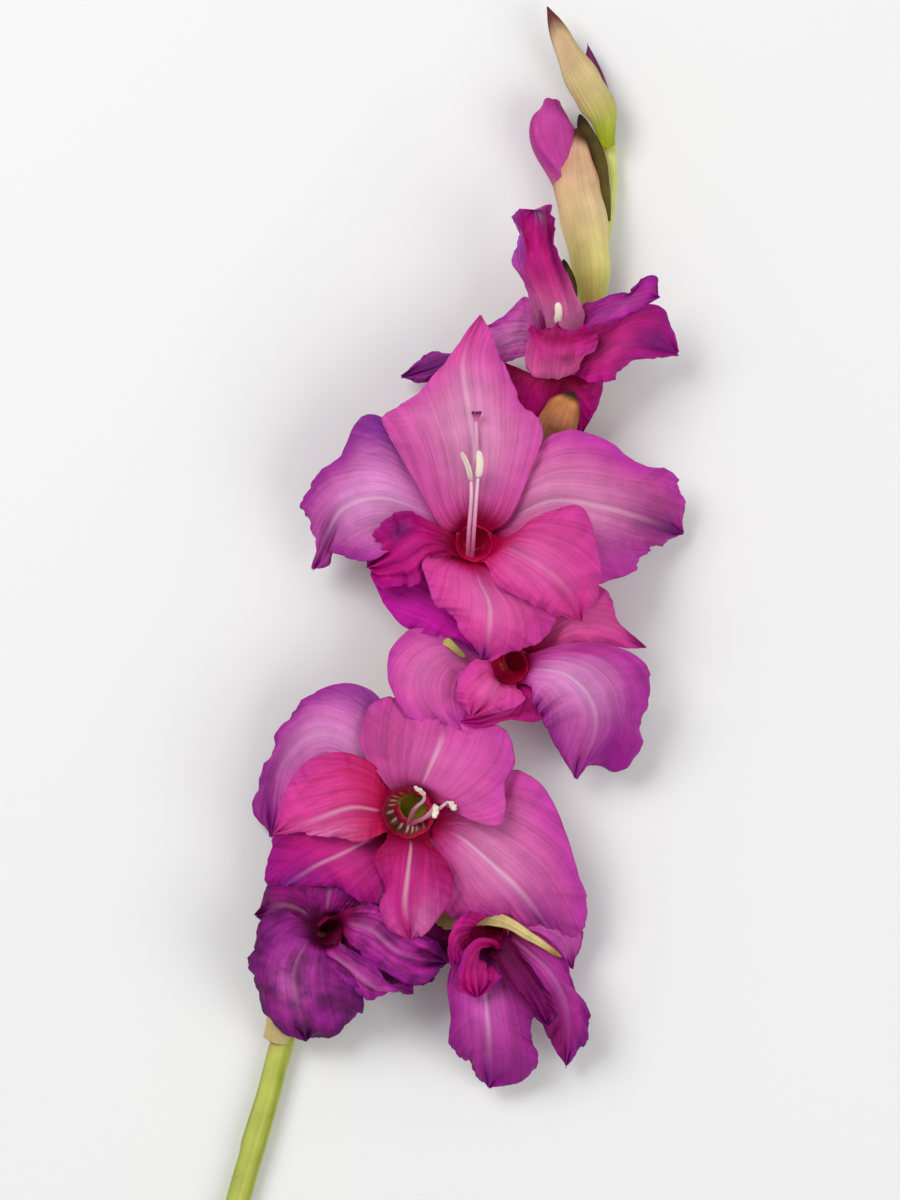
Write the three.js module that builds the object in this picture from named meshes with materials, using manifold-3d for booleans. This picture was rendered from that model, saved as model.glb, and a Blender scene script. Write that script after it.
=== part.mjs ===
// A cut gladiolus spike, laid on its back on a table, in millimetres.
//
// +Y runs along the spike towards the buds, +X across it and +Z up from the table.
// The origin is under the middle of the spike, on the table.
//
// Every leaf-like piece is a sheet. A bent one is a midrib through a few stations, and at each station
// how far the sheet reaches to the left and right of the midrib and how far each side bends out of flat.
// A spanned one is drawn by three lines: its left edge, its midrib and its right edge.
// Every stalk-like piece is a tube: a centreline through a few stations with a radius at each.
import * as THREE from "three";
import Module from "manifold-3d";

const wasm = await Module();
wasm.setup();

// ---- Driving dimensions ----
const CLEARANCE = 0.3; // gap kept between neighbouring pieces
const FLORET_SIZE = 1; // how large the florets are grown, as a share of a full-size bloom
const TEPAL_THICKNESS = 0.6;
const BRACT_THICKNESS = 0.8;
const TUBE_WALL = 0.9; // wall of a floret's funnel
const OUTER_DROP = 2; // how far below the rim the outer tepals are rooted
const TUBE_RADIUS = 2.6; // floret tube where it leaves the ovary
const FUNNEL_DEPTH = 7; // from a throat down to where its funnel narrows
const NECK_FLARE = 1.4; // how much wider than the tube it is there
const STEM_RADIUS_CUT = 4.2; // at the cut end
const STEM_RADIUS_TOP = 2.6; // below the last bud
const FILAMENT_RADIUS = 0.75;
const ANTHER_RADIUS = 1.3;

const SIMPLIFY = 0.1; // facets closer to flat than this are joined
const SHEET_STEPS = 8; // facets along a sheet
const SHEET_SIDES = 3; // facets on each side of a midrib
const TUBE_SIDES = 10;
const TIP_START = 0.8; // where a sheet's outline begins to round off to its tip
const TIP_LEAST = 0.16; // share of its width left at the very tip
const SPAN_END = 0.96; // how far along its three lines a spanned sheet goes, so that it ends blunt
const INNER_FOCUS = 60; // how far above the throat the point lies that the inner tepals face, which cups them
const OUTER_FOCUS = 250; // the same for the outer tepals, which lie flatter

const DEG = Math.PI / 180;

// ---- Colours ----
const colours = {
  stem: [0x9cb34a, 0.55],
  bract: [0xb7ad62, 0.6],
  dried: [0xb5864f, 0.75],
  pink: [0xd45aa6, 0.5],
  purple: [0xa8358f, 0.5],
  wilted: [0x8a2680, 0.6],
  throat: [0xb03a78, 0.5],
  stamen: [0xe6d9c0, 0.6],
  bud: [0xb63b96, 0.5],
};

// ---- Curves ----

// A smooth curve through rows of numbers, at t from 0 to 1: a uniform Catmull-Rom spline with mirrored ends.
function along(rows, t) {
  const last = rows.length - 1;
  const i = Math.min(Math.max(Math.floor(t * last), 0), last - 1);
  const f = t * last - i;
  const b = rows[i];
  const c = rows[i + 1];
  const a = rows[i - 1] ?? b.map((x, k) => 2 * x - c[k]);
  const d = rows[i + 2] ?? c.map((x, k) => 2 * x - b[k]);
  return b.map(
    (_, k) =>
      0.5 *
      (2 * b[k] +
        (c[k] - a[k]) * f +
        (2 * a[k] - 5 * b[k] + 4 * c[k] - d[k]) * f * f +
        (3 * b[k] - a[k] - 3 * c[k] + d[k]) * f * f * f),
  );
}

const pointOf = (row) => new THREE.Vector3(row[0], row[1], row[2]);

function tangentAt(rows, t) {
  const h = 0.01;
  return pointOf(along(rows, Math.min(t + h, 1)))
    .sub(pointOf(along(rows, Math.max(t - h, 0))))
    .normalize();
}

// ---- Solids ----

function solidOf(vertices, triangles) {
  const made = new wasm.Manifold(
    new wasm.Mesh({
      numProp: 3,
      vertProperties: new Float32Array(vertices.flatMap((v) => [v.x, v.y, v.z])),
      triVerts: new Uint32Array(triangles.flat()),
    }),
  );
  return made;
}

// A sheet's surface is a point for each u along its midrib and v across it, from -1 at the right edge to 1 at
// the left. A bent sheet's sides are arcs: each is as long as the station's reach and turns by its bend.
const bentSurface = (stations, focus) => (u, v, grow) => {
  const [x, y, z, left, right, bendLeft, bendRight, roll] = along(stations, u);
  const middle = new THREE.Vector3(x, y, z);
  const forward = tangentAt(stations, u);
  const face = focus.clone().sub(middle).addScaledVector(forward, -focus.clone().sub(middle).dot(forward));
  face.normalize().applyAxisAngle(forward, roll * DEG);
  const side = face.clone().cross(forward).multiplyScalar(Math.sign(v));
  const past = Math.max((u - TIP_START) / (1 - TIP_START), 0);
  const rounding = Math.max(Math.sqrt(Math.max(1 - past * past, 0)), TIP_LEAST);
  const reach = Math.abs(v) * ((v > 0 ? left : right) * rounding + grow);
  const bend = Math.abs(v) * (v > 0 ? bendLeft : bendRight) * DEG;
  const across = Math.abs(bend) < 1e-4 ? reach : (reach * Math.sin(bend)) / bend;
  const out = Math.abs(bend) < 1e-4 ? 0 : (reach * (1 - Math.cos(bend))) / bend;
  return middle.addScaledVector(side, across).addScaledVector(face, out);
};

// A spanned sheet is drawn by three lines: across it runs the parabola through its left edge, midrib and
// right edge.
const spannedSurface = ({ left, middle, right }) => (u, v, grow) => {
  const [l, m, r] = [left, middle, right].map((line) => pointOf(along(line, u * SPAN_END)));
  l.addScaledVector(l.clone().sub(m).normalize(), grow);
  r.addScaledVector(r.clone().sub(m).normalize(), grow);
  const slope = l.clone().sub(r).divideScalar(2);
  const bow = l.add(r).divideScalar(2).sub(m);
  return m.addScaledVector(slope, v).addScaledVector(bow, v * v);
};

// A closed sheet of the given thickness. With grow it is larger all round, to cut a clearance with.
function sheet(surface, thickness, grow = 0) {
  const steps = SHEET_STEPS;
  const columns = 2 * SHEET_SIDES;
  const grid = [];
  for (let i = 0; i <= steps; i++) {
    for (let j = 0; j <= columns; j++) {
      grid.push(surface(i / steps, (2 * j) / columns - 1, grow));
    }
  }
  const at = (i, j) => i * (columns + 1) + j;
  const clamp = (n, top) => Math.min(Math.max(n, 0), top);
  const half = thickness / 2 + grow;
  const upper = [];
  const lower = [];
  for (let i = 0; i <= steps; i++) {
    for (let j = 0; j <= columns; j++) {
      const du = grid[at(clamp(i + 1, steps), j)].clone().sub(grid[at(clamp(i - 1, steps), j)]);
      const dv = grid[at(i, clamp(j + 1, columns))].clone().sub(grid[at(i, clamp(j - 1, columns))]);
      const normal = du.clone().cross(dv).normalize();
      const end = i === 0 ? -grow : i === steps ? grow : 0;
      const p = grid[at(i, j)].clone().addScaledVector(du.normalize(), end);
      upper.push(p.clone().addScaledVector(normal, half));
      lower.push(p.clone().addScaledVector(normal, -half));
    }
  }
  const below = upper.length;
  const triangles = [];
  const quad = (a, b, c, d) => triangles.push([a, b, c], [a, c, d]);
  for (let i = 0; i < steps; i++) {
    for (let j = 0; j < columns; j++) {
      const [a, b, c, d] = [at(i, j), at(i, j + 1), at(i + 1, j + 1), at(i + 1, j)];
      quad(a, d, c, b);
      quad(below + a, below + b, below + c, below + d);
    }
  }
  for (let i = 0; i < steps; i++) {
    const [a, d] = [at(i, 0), at(i + 1, 0)];
    quad(d, a, below + a, below + d);
    const [b, c] = [at(i, columns), at(i + 1, columns)];
    quad(b, c, below + c, below + b);
  }
  for (let j = 0; j < columns; j++) {
    const [a, b] = [at(0, j), at(0, j + 1)];
    quad(a, b, below + b, below + a);
    const [d, c] = [at(steps, j), at(steps, j + 1)];
    quad(c, d, below + d, below + c);
  }
  return solidOf([...upper, ...lower], triangles);
}

// A closed tube along rows of x, y, z and radius. With a wall it is hollow from the open far end
// down to boreStart, a share of its length.
function tube(rows, { steps = 10, sides = TUBE_SIDES, wall = 0, boreStart = 0.5, grow = 0 } = {}) {
  const profile = [];
  for (let i = 0; i <= steps; i++) profile.push([i / steps, 0]);
  if (wall) {
    for (let i = steps; i / steps >= boreStart; i--) profile.push([i / steps, wall]);
  }
  const frames = [];
  let across = new THREE.Vector3(1, 0, 0);
  for (let i = 0; i <= steps; i++) {
    const forward = tangentAt(rows, i / steps);
    across = across.clone().addScaledVector(forward, -across.dot(forward)).normalize();
    frames.push([forward, across, forward.clone().cross(across)]);
  }
  const vertices = [];
  const triangles = [];
  profile.forEach(([t, inset]) => {
    const row = along(rows, t);
    const [forward, e1, e2] = frames[Math.round(t * steps)];
    const floor = inset && t < boreStart + 1 / steps;
    const end = t === 0 ? -grow : t === 1 || floor ? grow : 0;
    const centre = pointOf(row).addScaledVector(forward, end);
    const r = row[3] - inset + (inset ? -grow : grow);
    for (let k = 0; k < sides; k++) {
      const turn = (2 * Math.PI * k) / sides;
      vertices.push(
        centre.clone().addScaledVector(e1, r * Math.cos(turn)).addScaledVector(e2, r * Math.sin(turn)),
      );
    }
  });
  for (let i = 0; i < profile.length - 1; i++) {
    for (let k = 0; k < sides; k++) {
      const n = (k + 1) % sides;
      const [a, b] = [i * sides + k, i * sides + n];
      triangles.push([a, b, b + sides], [a, b + sides, a + sides]);
    }
  }
  const first = vertices.length;
  const lastRing = (profile.length - 1) * sides;
  const sumOf = (points) => points.reduce((sum, v) => sum.add(v), new THREE.Vector3());
  const centreOf = (start) => sumOf(vertices.slice(start, start + sides)).divideScalar(sides);
  vertices.push(centreOf(0), centreOf(lastRing));
  for (let k = 0; k < sides; k++) {
    const n = (k + 1) % sides;
    triangles.push([first, n, k], [first + 1, lastRing + k, lastRing + n]);
  }
  return solidOf(vertices, triangles);
}

// ---- The stem ----
// Centreline from the cut end to below the last bud: x, y, z. Its radius eases from one end's to the other's.
const stemLine = [
  [-78, -231, 4.3],
  [-70.2, -201, 4.5],
  [-61.3, -168, 4.9],
  [-56, -147, 5.2],
  [-45, -112, 5.6],
  [-33, -80, 6],
  [-18, -45, 6.4],
  [0, -10, 6.6],
  [18, 25, 6.6],
  [33, 58, 6.4],
  [43, 88, 6],
  [49, 112, 5.6],
  [53, 134, 5.2],
  [53.5, 154, 5],
];
const stemRadius = (share) => STEM_RADIUS_CUT + (STEM_RADIUS_TOP - STEM_RADIUS_CUT) * share;
const stemRows = stemLine.map((p, i) => [...p, stemRadius(i / (stemLine.length - 1))]);

// ---- Florets ----
// Each floret has a throat, where its funnel opens, the way it faces, its rim radius, the line of its
// tube from the stem to the throat, and six tepals. A tepal names its bearing round the rim, whether
// it is of the inner whorl, and its shape. A bent one has stations: x, y, z from the throat, reach left and
// right, bend left and right in degrees, and roll. A spanned one has the x, y and z of its left edge, midrib
// and right edge. Left is the left hand of someone who walks from throat to tip.
const florets = [
  {
    name: "floret5",
    throat: [8, 19, 32],
    faces: [0, -0.15, 1],
    rim: 6.5,
    tube: [[3, -6, 10.5], [5, 5, 17]],
    colour: "pink",
    tepals: {
      dorsal: [90, true, {
        left: [
          [-3, 24, 37], [-12, 40, 41], [-20, 54, 40], [-22, 61.5, 38], [-10, 69, 39], [0, 82, 38],
          [10.5, 95, 35],
        ],
        middle: [[8, 33, 38.5], [8, 50, 42], [6, 65, 42], [4.5, 80, 40], [10.5, 95, 35]],
        right: [
          [20, 27, 37.5], [26.5, 42, 41], [31, 57, 39], [23.5, 66, 39], [17.5, 80, 38], [14, 88.5, 37],
          [10.5, 95, 35],
        ],
      }],
      lower_right: [-30, true, {
        left: [
          [19, 21, 41], [30, 28, 47], [42, 31.5, 49], [47.5, 24, 47], [50, 10, 43], [49, 0, 39],
          [44, -7, 34],
        ],
        middle: [[19, 17, 41], [29, 12, 46], [38, 4, 44], [44, -7, 34]],
        right: [[12, 12, 39], [16, 4, 42], [26, -0.5, 43], [33, -4.5, 40], [44, -7, 34]],
      }],
      lower_left: [210, true, {
        left: [
          [0, 15, 37], [-7, 13, 40], [-10, 6.5, 40], [-17, 4.5, 38], [-24, 6, 35], [-27, 11, 31],
        ],
        middle: [[-2, 19, 39], [-9, 19.5, 43], [-17, 15, 42], [-24, 12, 36], [-27, 11, 31]],
        right: [
          [0, 22.5, 37], [-7, 27, 41], [-13, 29.5, 44], [-20, 28, 42], [-23, 21, 38], [-28, 17, 34],
          [-27, 11, 31],
        ],
      }],
      lip: [270, false, {
        left: [
          [17, 12, 35], [27, 2, 38], [35, -5, 38], [33, -11, 37], [25, -16.5, 36], [17, -19, 35],
          [11, -20.5, 34],
        ],
        middle: [[9.5, 7, 36], [13, -1, 40], [13, -10, 40], [11, -20.5, 34]],
        right: [
          [-5, 16, 37], [-9, 13, 41], [-7.5, 6, 42], [-5, -1, 40], [1, -6.5, 38], [6, -13, 36],
          [11, -20.5, 34],
        ],
      }],
      upper_right: [30, false, {
        left: [
          [17, 34, 35], [27, 47, 38], [36, 56, 36], [50, 54, 34], [65, 45, 27], [73.5, 43.5, 20],
          [78.5, 34, 12], [78.5, 22.5, 6],
        ],
        middle: [[20, 27, 35], [34, 33, 39], [50, 31, 36], [65, 27, 24], [78.5, 22.5, 6]],
        right: [
          [20, 17, 34], [34, 9, 36], [46, 5, 34], [54, 6.5, 31], [61, 9.5, 25], [66, 16, 17],
          [72, 19, 11], [78.5, 22.5, 6],
        ],
      }],
      upper_left: [150, false, {
        left: [
          [-6, 20, 36], [-17, 18.5, 39], [-25, 13.5, 36], [-34, 13.5, 30], [-40.5, 17, 22],
          [-40, 12, 16], [-46, 10.5, 12],
        ],
        middle: [[-6, 28, 35], [-22, 34, 38], [-35, 31, 34], [-41, 22, 25], [-46, 10.5, 12]],
        right: [
          [-1, 34, 34], [-13, 50, 36], [-23, 61, 36], [-31.5, 59.5, 34], [-37, 48, 32], [-46.5, 39, 27],
          [-49.5, 30, 20], [-44.5, 19.5, 16], [-46, 10.5, 12],
        ],
      }],
    },
  },
  {
    name: "floret4",
    throat: [20, -22, 25],
    faces: [-0.1, -0.25, 0.95],
    rim: 6.5,
    tube: [[-8, -28, 10], [6, -26.5, 13.5]],
    colour: "pink",
    tepals: {
      right: [345, true, {
        left: [
          [28, -17.5, 35], [38, -14.5, 38], [50, -14.5, 36], [62, -18.5, 31], [67.5, -27, 25],
          [64.5, -39, 20], [64, -49, 15], [56, -57.5, 12], [47, -56, 12], [42, -60, 13],
        ],
        middle: [[28, -23, 35], [38, -24.5, 38], [46, -32, 36], [48.5, -43, 28], [42, -60, 13]],
        right: [[26, -28.5, 34], [28, -34, 34], [30.5, -39, 31], [33.5, -46, 26], [42, -60, 13]],
      }],
      lower_left: [240, true, {
        left: [[22, -29, 35], [25, -33, 39], [19, -36, 40], [13, -38, 37], [7, -39, 34]],
        middle: [[15, -27, 34], [12, -32, 38], [7, -39, 34]],
        right: [[13, -20, 35], [8, -21.5, 39], [3, -27, 39], [2.5, -34, 37], [7, -39, 34]],
      }],
      lower_right: [290, false, {
        left: [
          [27, -28.5, 29], [31, -33, 31], [30.5, -40, 31], [20, -40.5, 32], [11, -43.5, 31],
          [3, -40.5, 30],
        ],
        middle: [[22, -30.5, 29], [18, -36, 33], [11, -40, 33], [3, -40.5, 30]],
        right: [[15, -28, 29], [10, -34, 32], [6, -38, 32], [3, -40.5, 30]],
      }],
      left: [180, false, {
        left: [[14, -25, 27], [9, -27, 29], [6.5, -32, 30], [6, -38, 31], [3, -43.5, 32], [3, -48.5, 31]],
        middle: [[11, -20, 27], [-2, -18, 31], [-9, -25, 34], [-8, -34, 34], [3, -48.5, 31]],
        right: [
          [12, -15, 27], [0, -12, 30], [-12, -9.5, 33], [-20, -17, 33], [-20.5, -28, 33],
          [-14.5, -38, 33], [-5.5, -42, 33], [3, -48.5, 31],
        ],
      }],
      upper_right: [45, false, {
        left: [[26, -10, 29], [36, -1, 31], [47, 5, 31], [53, 2, 28], [57, -7, 24], [65.5, -16, 17]],
        middle: [[30, -14, 29], [42, -7, 31], [54, -8.5, 26], [65.5, -16, 17]],
        right: [[30, -21, 28], [39, -18, 30], [49, -15, 28], [58, -16, 22], [65.5, -16, 17]],
      }],
      upper_left: [125, true, {
        left: [
          [10, -17.5, 30], [2, -13, 32], [-7, -11.5, 32], [-16, -8.5, 31], [-22, -1, 28], [-26, 7, 25],
        ],
        middle: [[10, -11, 30], [-2, -3, 32], [-14, 3, 30], [-26, 7, 25]],
        right: [[16, -10, 30], [8, 0, 32], [-4, 9, 32], [-14, 13, 29], [-26, 7, 25]],
      }],
    },
  },
  {
    name: "floret6",
    throat: [37, 80, 22],
    faces: [-0.15, 0.65, 0.75],
    rim: 5.5,
    tube: [[34, 56, 9.5], [36.5, 65, 12.5]],
    colour: "purple",
    tepals: {
      dorsal: [110, true, {
        left: [
          [28, 94, 28], [25, 103, 33], [20.8, 112, 35], [22.5, 119, 37], [21, 127, 37], [22.5, 130, 36],
          [28, 130, 34],
        ],
        middle: [[36, 95, 26], [31.5, 108, 31], [29, 118, 33], [28, 130, 34]],
        right: [
          [45, 95, 27], [40, 106, 33], [36.5, 115, 38], [34.5, 126, 38], [33.5, 131.5, 36],
          [28, 130, 34],
        ],
      }],
      right: [30, false, {
        left: [
          [44, 98, 24], [48, 99.5, 29], [56, 102, 33], [62, 103, 34], [65, 107.5, 33.5], [69, 107.5, 32.5],
          [70, 101, 31],
        ],
        middle: [[46, 93, 26], [54, 97, 32], [62, 99.5, 34], [70, 101, 31]],
        right: [[46, 88, 27], [53, 91, 33], [61, 96, 35], [70, 101, 31]],
      }],
      lower_left: [250, true, {
        left: [[27, 77, 30], [23.5, 84, 36], [25, 90, 39], [30, 91.5, 39.5], [36, 91, 38]],
        middle: [[34, 73.5, 33], [34, 80, 41], [34.5, 87, 42], [36, 91, 38]],
        right: [[42, 75, 32], [47, 81, 39], [49, 87.5, 40.5], [46, 91.5, 39.5], [36, 91, 38]],
      }],
      lip: [340, true, {
        left: [
          [44, 86, 30], [48, 91, 34], [55, 93, 34.5], [62, 98, 31.5], [70, 98, 27], [74, 92, 22],
          [76.5, 83, 16],
        ],
        middle: [[45, 80, 31], [52, 83, 34], [62, 87, 29], [76.5, 83, 16]],
        right: [[42, 75, 28], [46, 73, 31], [52, 73, 30], [58, 77.5, 26], [66, 81.5, 21], [76.5, 83, 16]],
      }],
      left: [190, false, {
        left: [[29, 81, 25], [20, 80, 26], [8, 75, 20], [-3, 74.5, 14], [-10, 73, 9], [-16.5, 75, 7]],
        middle: [[27, 88, 26], [18, 87, 27], [4, 82, 18], [-16.5, 75, 7]],
        right: [
          [31, 95, 27], [25, 101, 29], [17, 94, 28], [9, 90.5, 20], [0, 83, 14], [-9, 82, 10],
          [-16.5, 75, 7],
        ],
      }],
      lower_right: [300, false, {
        left: [[45, 75, 24], [51, 74, 26], [51, 69, 23], [47.5, 61, 18], [44, 55, 13]],
        middle: [[37, 72, 25], [36.5, 68, 23.5], [39, 62, 18], [44, 55, 13]],
        right: [
          [28, 75, 22], [17, 80, 21], [15, 75, 21], [19, 67, 19], [26, 60, 16], [34, 55.5, 13],
          [44, 55, 13],
        ],
      }],
    },
  },
  {
    name: "floret3",
    throat: [-14, -71, 24],
    faces: [0, -0.1, 1],
    rim: 9,
    tube: [[-35, -86, 9], [-26, -79, 12.5]],
    colour: "pink",
    tepals: {
      left: [175, true, {
        left: [[-22, -77.5, 33], [-30, -80.5, 36], [-40, -79, 36], [-50, -77.5, 33], [-59, -78, 29]],
        middle: [[-24, -70, 33], [-33, -69, 38], [-45, -73, 36], [-59, -78, 29]],
        right: [
          [-21, -60, 33], [-27, -53.5, 36], [-37, -50.5, 38], [-48, -54, 37], [-55, -64, 34],
          [-59, -78, 29],
        ],
      }],
      lip: [265, true, {
        left: [
          [-6, -81, 33], [0, -89, 37], [0.5, -97, 37], [-3, -105, 36], [-8, -111, 34], [-13, -113, 32],
        ],
        middle: [[-13, -81, 33], [-14, -91, 39], [-15, -102, 37], [-13, -113, 32]],
        right: [
          [-21, -79, 33], [-25, -86, 37], [-22, -95, 38], [-23.5, -102, 37], [-20, -110, 34],
          [-13, -113, 32],
        ],
      }],
      upper_right: [65, true, {
        left: [
          [-20, -63, 33], [-26, -55, 36], [-30, -47, 36], [-28, -37, 33], [-20, -32, 31],
          [-10, -34.5, 31], [-1, -39, 31],
        ],
        middle: [[-9, -61, 33], [-6, -54, 37], [-3, -47, 36], [-1, -39, 31]],
        right: [
          [-3, -68, 33], [6, -72.5, 37], [16, -75, 39], [18.5, -69, 38], [18, -61, 36], [22, -53, 34],
          [18, -43, 31], [9, -42.5, 31], [-1, -39, 31],
        ],
      }],
      lower_left: [222, false, {
        left: [
          [-19, -83, 28], [-21, -95, 31], [-26, -102, 29], [-36, -97, 28], [-48, -96, 24],
          [-60, -100, 15],
        ],
        middle: [[-26, -79.5, 28], [-36, -84.5, 31], [-47, -90, 27], [-60, -100, 15]],
        right: [
          [-29, -73, 28], [-43, -75, 31], [-57, -76, 28], [-60.5, -85, 22], [-61.5, -93, 18],
          [-60, -100, 15],
        ],
      }],
      right: [325, false, {
        left: [
          [0, -67, 28], [12, -62, 31], [21, -56.5, 32], [31, -62, 31], [38, -75, 28], [42, -90, 23],
          [46.5, -102, 17], [43, -112, 14], [36, -116, 12],
        ],
        middle: [[3, -79, 28], [14, -88, 32], [25, -99, 29], [36, -116, 12]],
        right: [
          [-6, -80, 28], [-2, -92, 31], [-1, -105, 30], [9, -105.5, 27], [19, -107.5, 22],
          [28, -112, 17], [36, -116, 12],
        ],
      }],
      upper_left: [125, false, {
        left: [[-25, -66, 28], [-36, -60, 32], [-46, -61, 30], [-54, -67, 22], [-60, -80, 6]],
        middle: [[-22, -59, 28], [-34, -47, 32], [-46, -45, 29], [-57, -57, 19], [-60, -80, 6]],
        right: [
          [-15, -58, 27], [-19, -42, 31], [-25, -31, 31], [-37, -27.5, 29], [-48, -33, 25],
          [-57, -43, 19], [-62, -56, 13], [-67, -70, 7], [-60, -80, 5],
        ],
      }],
    },
  },
  {
    name: "floret2",
    throat: [13, -111, 20],
    faces: [0.1, -0.6, 0.75],
    rim: 6,
    tube: [[-41, -104, 8.5], [-16, -105, 10.5]],
    colour: "purple",
    tepals: {
      inner_left: [225, true, [
        [-3, -6, 10, 8, 7, 40, 40, 0],
        [-4.5, -11, 14, 9, 7, 40, 40, 0],
        [-4.5, -16, 14, 8, 7, 30, 30, 0],
        [-4, -21, 11, 4, 3, 10, 10, 0],
      ]],
      inner_right: [300, true, {
        left: [[20, -113, 28], [27, -121, 31], [33, -131, 31], [36, -138, 29], [33, -142, 28]],
        middle: [[17, -116, 27], [24, -126, 30], [29, -134, 30], [33, -142, 28]],
        right: [[13, -118, 28], [18, -125, 32], [24, -134, 32], [29, -140, 29], [33, -142, 28]],
      }],
      lip: [270, false, {
        left: [
          [18, -119, 22], [24, -127, 27], [28, -137, 26], [27, -145, 22], [29.5, -153, 17],
          [25.5, -161.5, 10], [13, -164, 8],
        ],
        middle: [[11, -122, 23], [12, -135, 29], [13, -148, 25], [13, -164, 8]],
        right: [
          [4, -117, 22], [-1, -126, 26], [0, -138, 26], [0, -149.5, 21], [5.5, -154.5, 16],
          [9, -160.5, 10], [13, -164, 8],
        ],
      }],
      right: [330, false, {
        left: [
          [21, -109, 22], [31, -112, 25], [38, -119, 26], [41, -127, 25], [46.5, -138, 20],
          [46, -147, 15], [42, -153.5, 11], [39, -157, 8],
        ],
        middle: [[22, -114, 23], [33, -124, 28], [39, -137, 24], [39, -157, 8]],
        right: [[19, -118.5, 23], [25, -129, 26], [30, -140, 22], [34, -149, 15], [39, -157, 8]],
      }],
      left: [175, false, {
        left: [[6, -116, 26], [4, -120, 29], [1, -122, 29]],
        middle: [[7, -110, 27], [2.5, -111, 32], [0, -115.5, 31], [1, -122, 29]],
        right: [[13, -105.5, 26], [7, -104, 31], [2, -106.5, 32], [-1, -114, 30], [1, -122, 29]],
      }],
      upper_right: [20, true, {
        left: [[20, -104, 20], [32, -100, 18], [41, -104, 15], [45, -112, 12], [41, -124, 10]],
        middle: [[20, -109, 20], [32, -108, 19], [40, -113, 14], [41, -124, 10]],
        right: [[20, -113, 20], [30, -114, 19], [36, -119, 15], [41, -124, 10]],
      }],
    },
  },
  {
    name: "floret1",
    throat: [-40, -111, 21],
    faces: [0.5, -0.3, 0.8],
    rim: 5,
    tube: [[-55, -143, 9.5], [-50, -125, 11.5]],
    colour: "wilted",
    tepals: {
      inner_right: [40, true, {
        left: [[-33, -103, 29], [-24, -102, 31], [-14, -109, 31], [-5, -114, 28], [0, -121, 20]],
        middle: [[-33, -108, 28], [-26, -110, 31], [-16, -118, 31], [0, -121, 20]],
        right: [[-35, -112, 29], [-29, -117, 33], [-18, -126, 31], [-8, -128.5, 25], [0, -121, 20]],
      }],
      lower_right: [290, true, {
        left: [[-36, -115, 30], [-30, -118, 34], [-20, -126, 33], [-12, -130.5, 26]],
        middle: [[-39, -118, 30], [-32, -124, 33], [-23, -130, 28], [-12, -130.5, 26]],
        right: [[-43, -118, 30], [-37, -125, 32], [-29, -131.5, 27], [-20, -131.5, 24], [-12, -130.5, 26]],
      }],
      lip: [200, true, {
        left: [
          [-42, -117, 31], [-36, -122, 33], [-30, -129, 28], [-29, -136, 22], [-33, -142, 16],
          [-40, -146.5, 13], [-48, -148, 10],
        ],
        middle: [[-48, -115, 31], [-52, -124, 33], [-51, -136, 26], [-48, -148, 10]],
        right: [
          [-50, -106, 30], [-60, -103, 31], [-65.5, -114, 29], [-67, -124, 25], [-63, -135, 20],
          [-57, -144.5, 14], [-48, -148, 10],
        ],
      }],
      left: [150, false, {
        left: [[-49, -110, 25], [-57, -111, 23], [-65, -106, 11]],
        middle: [[-49, -104, 26], [-57, -102, 23], [-65, -106, 11]],
        right: [[-45, -99, 25], [-51, -93, 22], [-60, -95, 17], [-65, -106, 11]],
      }],
      dorsal: [90, false, {
        left: [[-47, -103, 24], [-50, -96, 24], [-47, -90, 20], [-40, -88, 18]],
        middle: [[-41, -102, 25], [-40, -95, 25], [-40, -88, 18]],
        right: [[-34, -104, 24], [-27, -99, 24], [-31, -91, 21], [-40, -88, 18]],
      }],
      right: [0, false, {
        left: [[-31, -105, 22], [-20, -99, 24], [-8, -102, 22], [2, -110, 18], [1, -120, 14]],
        middle: [[-31, -111, 23], [-20, -113, 25], [-9, -116, 22], [1, -120, 14]],
        right: [[-34, -117, 21], [-26, -128, 20], [-14, -130.5, 18], [-5, -127, 15], [1, -120, 14]],
      }],
    },
  },
];

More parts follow.
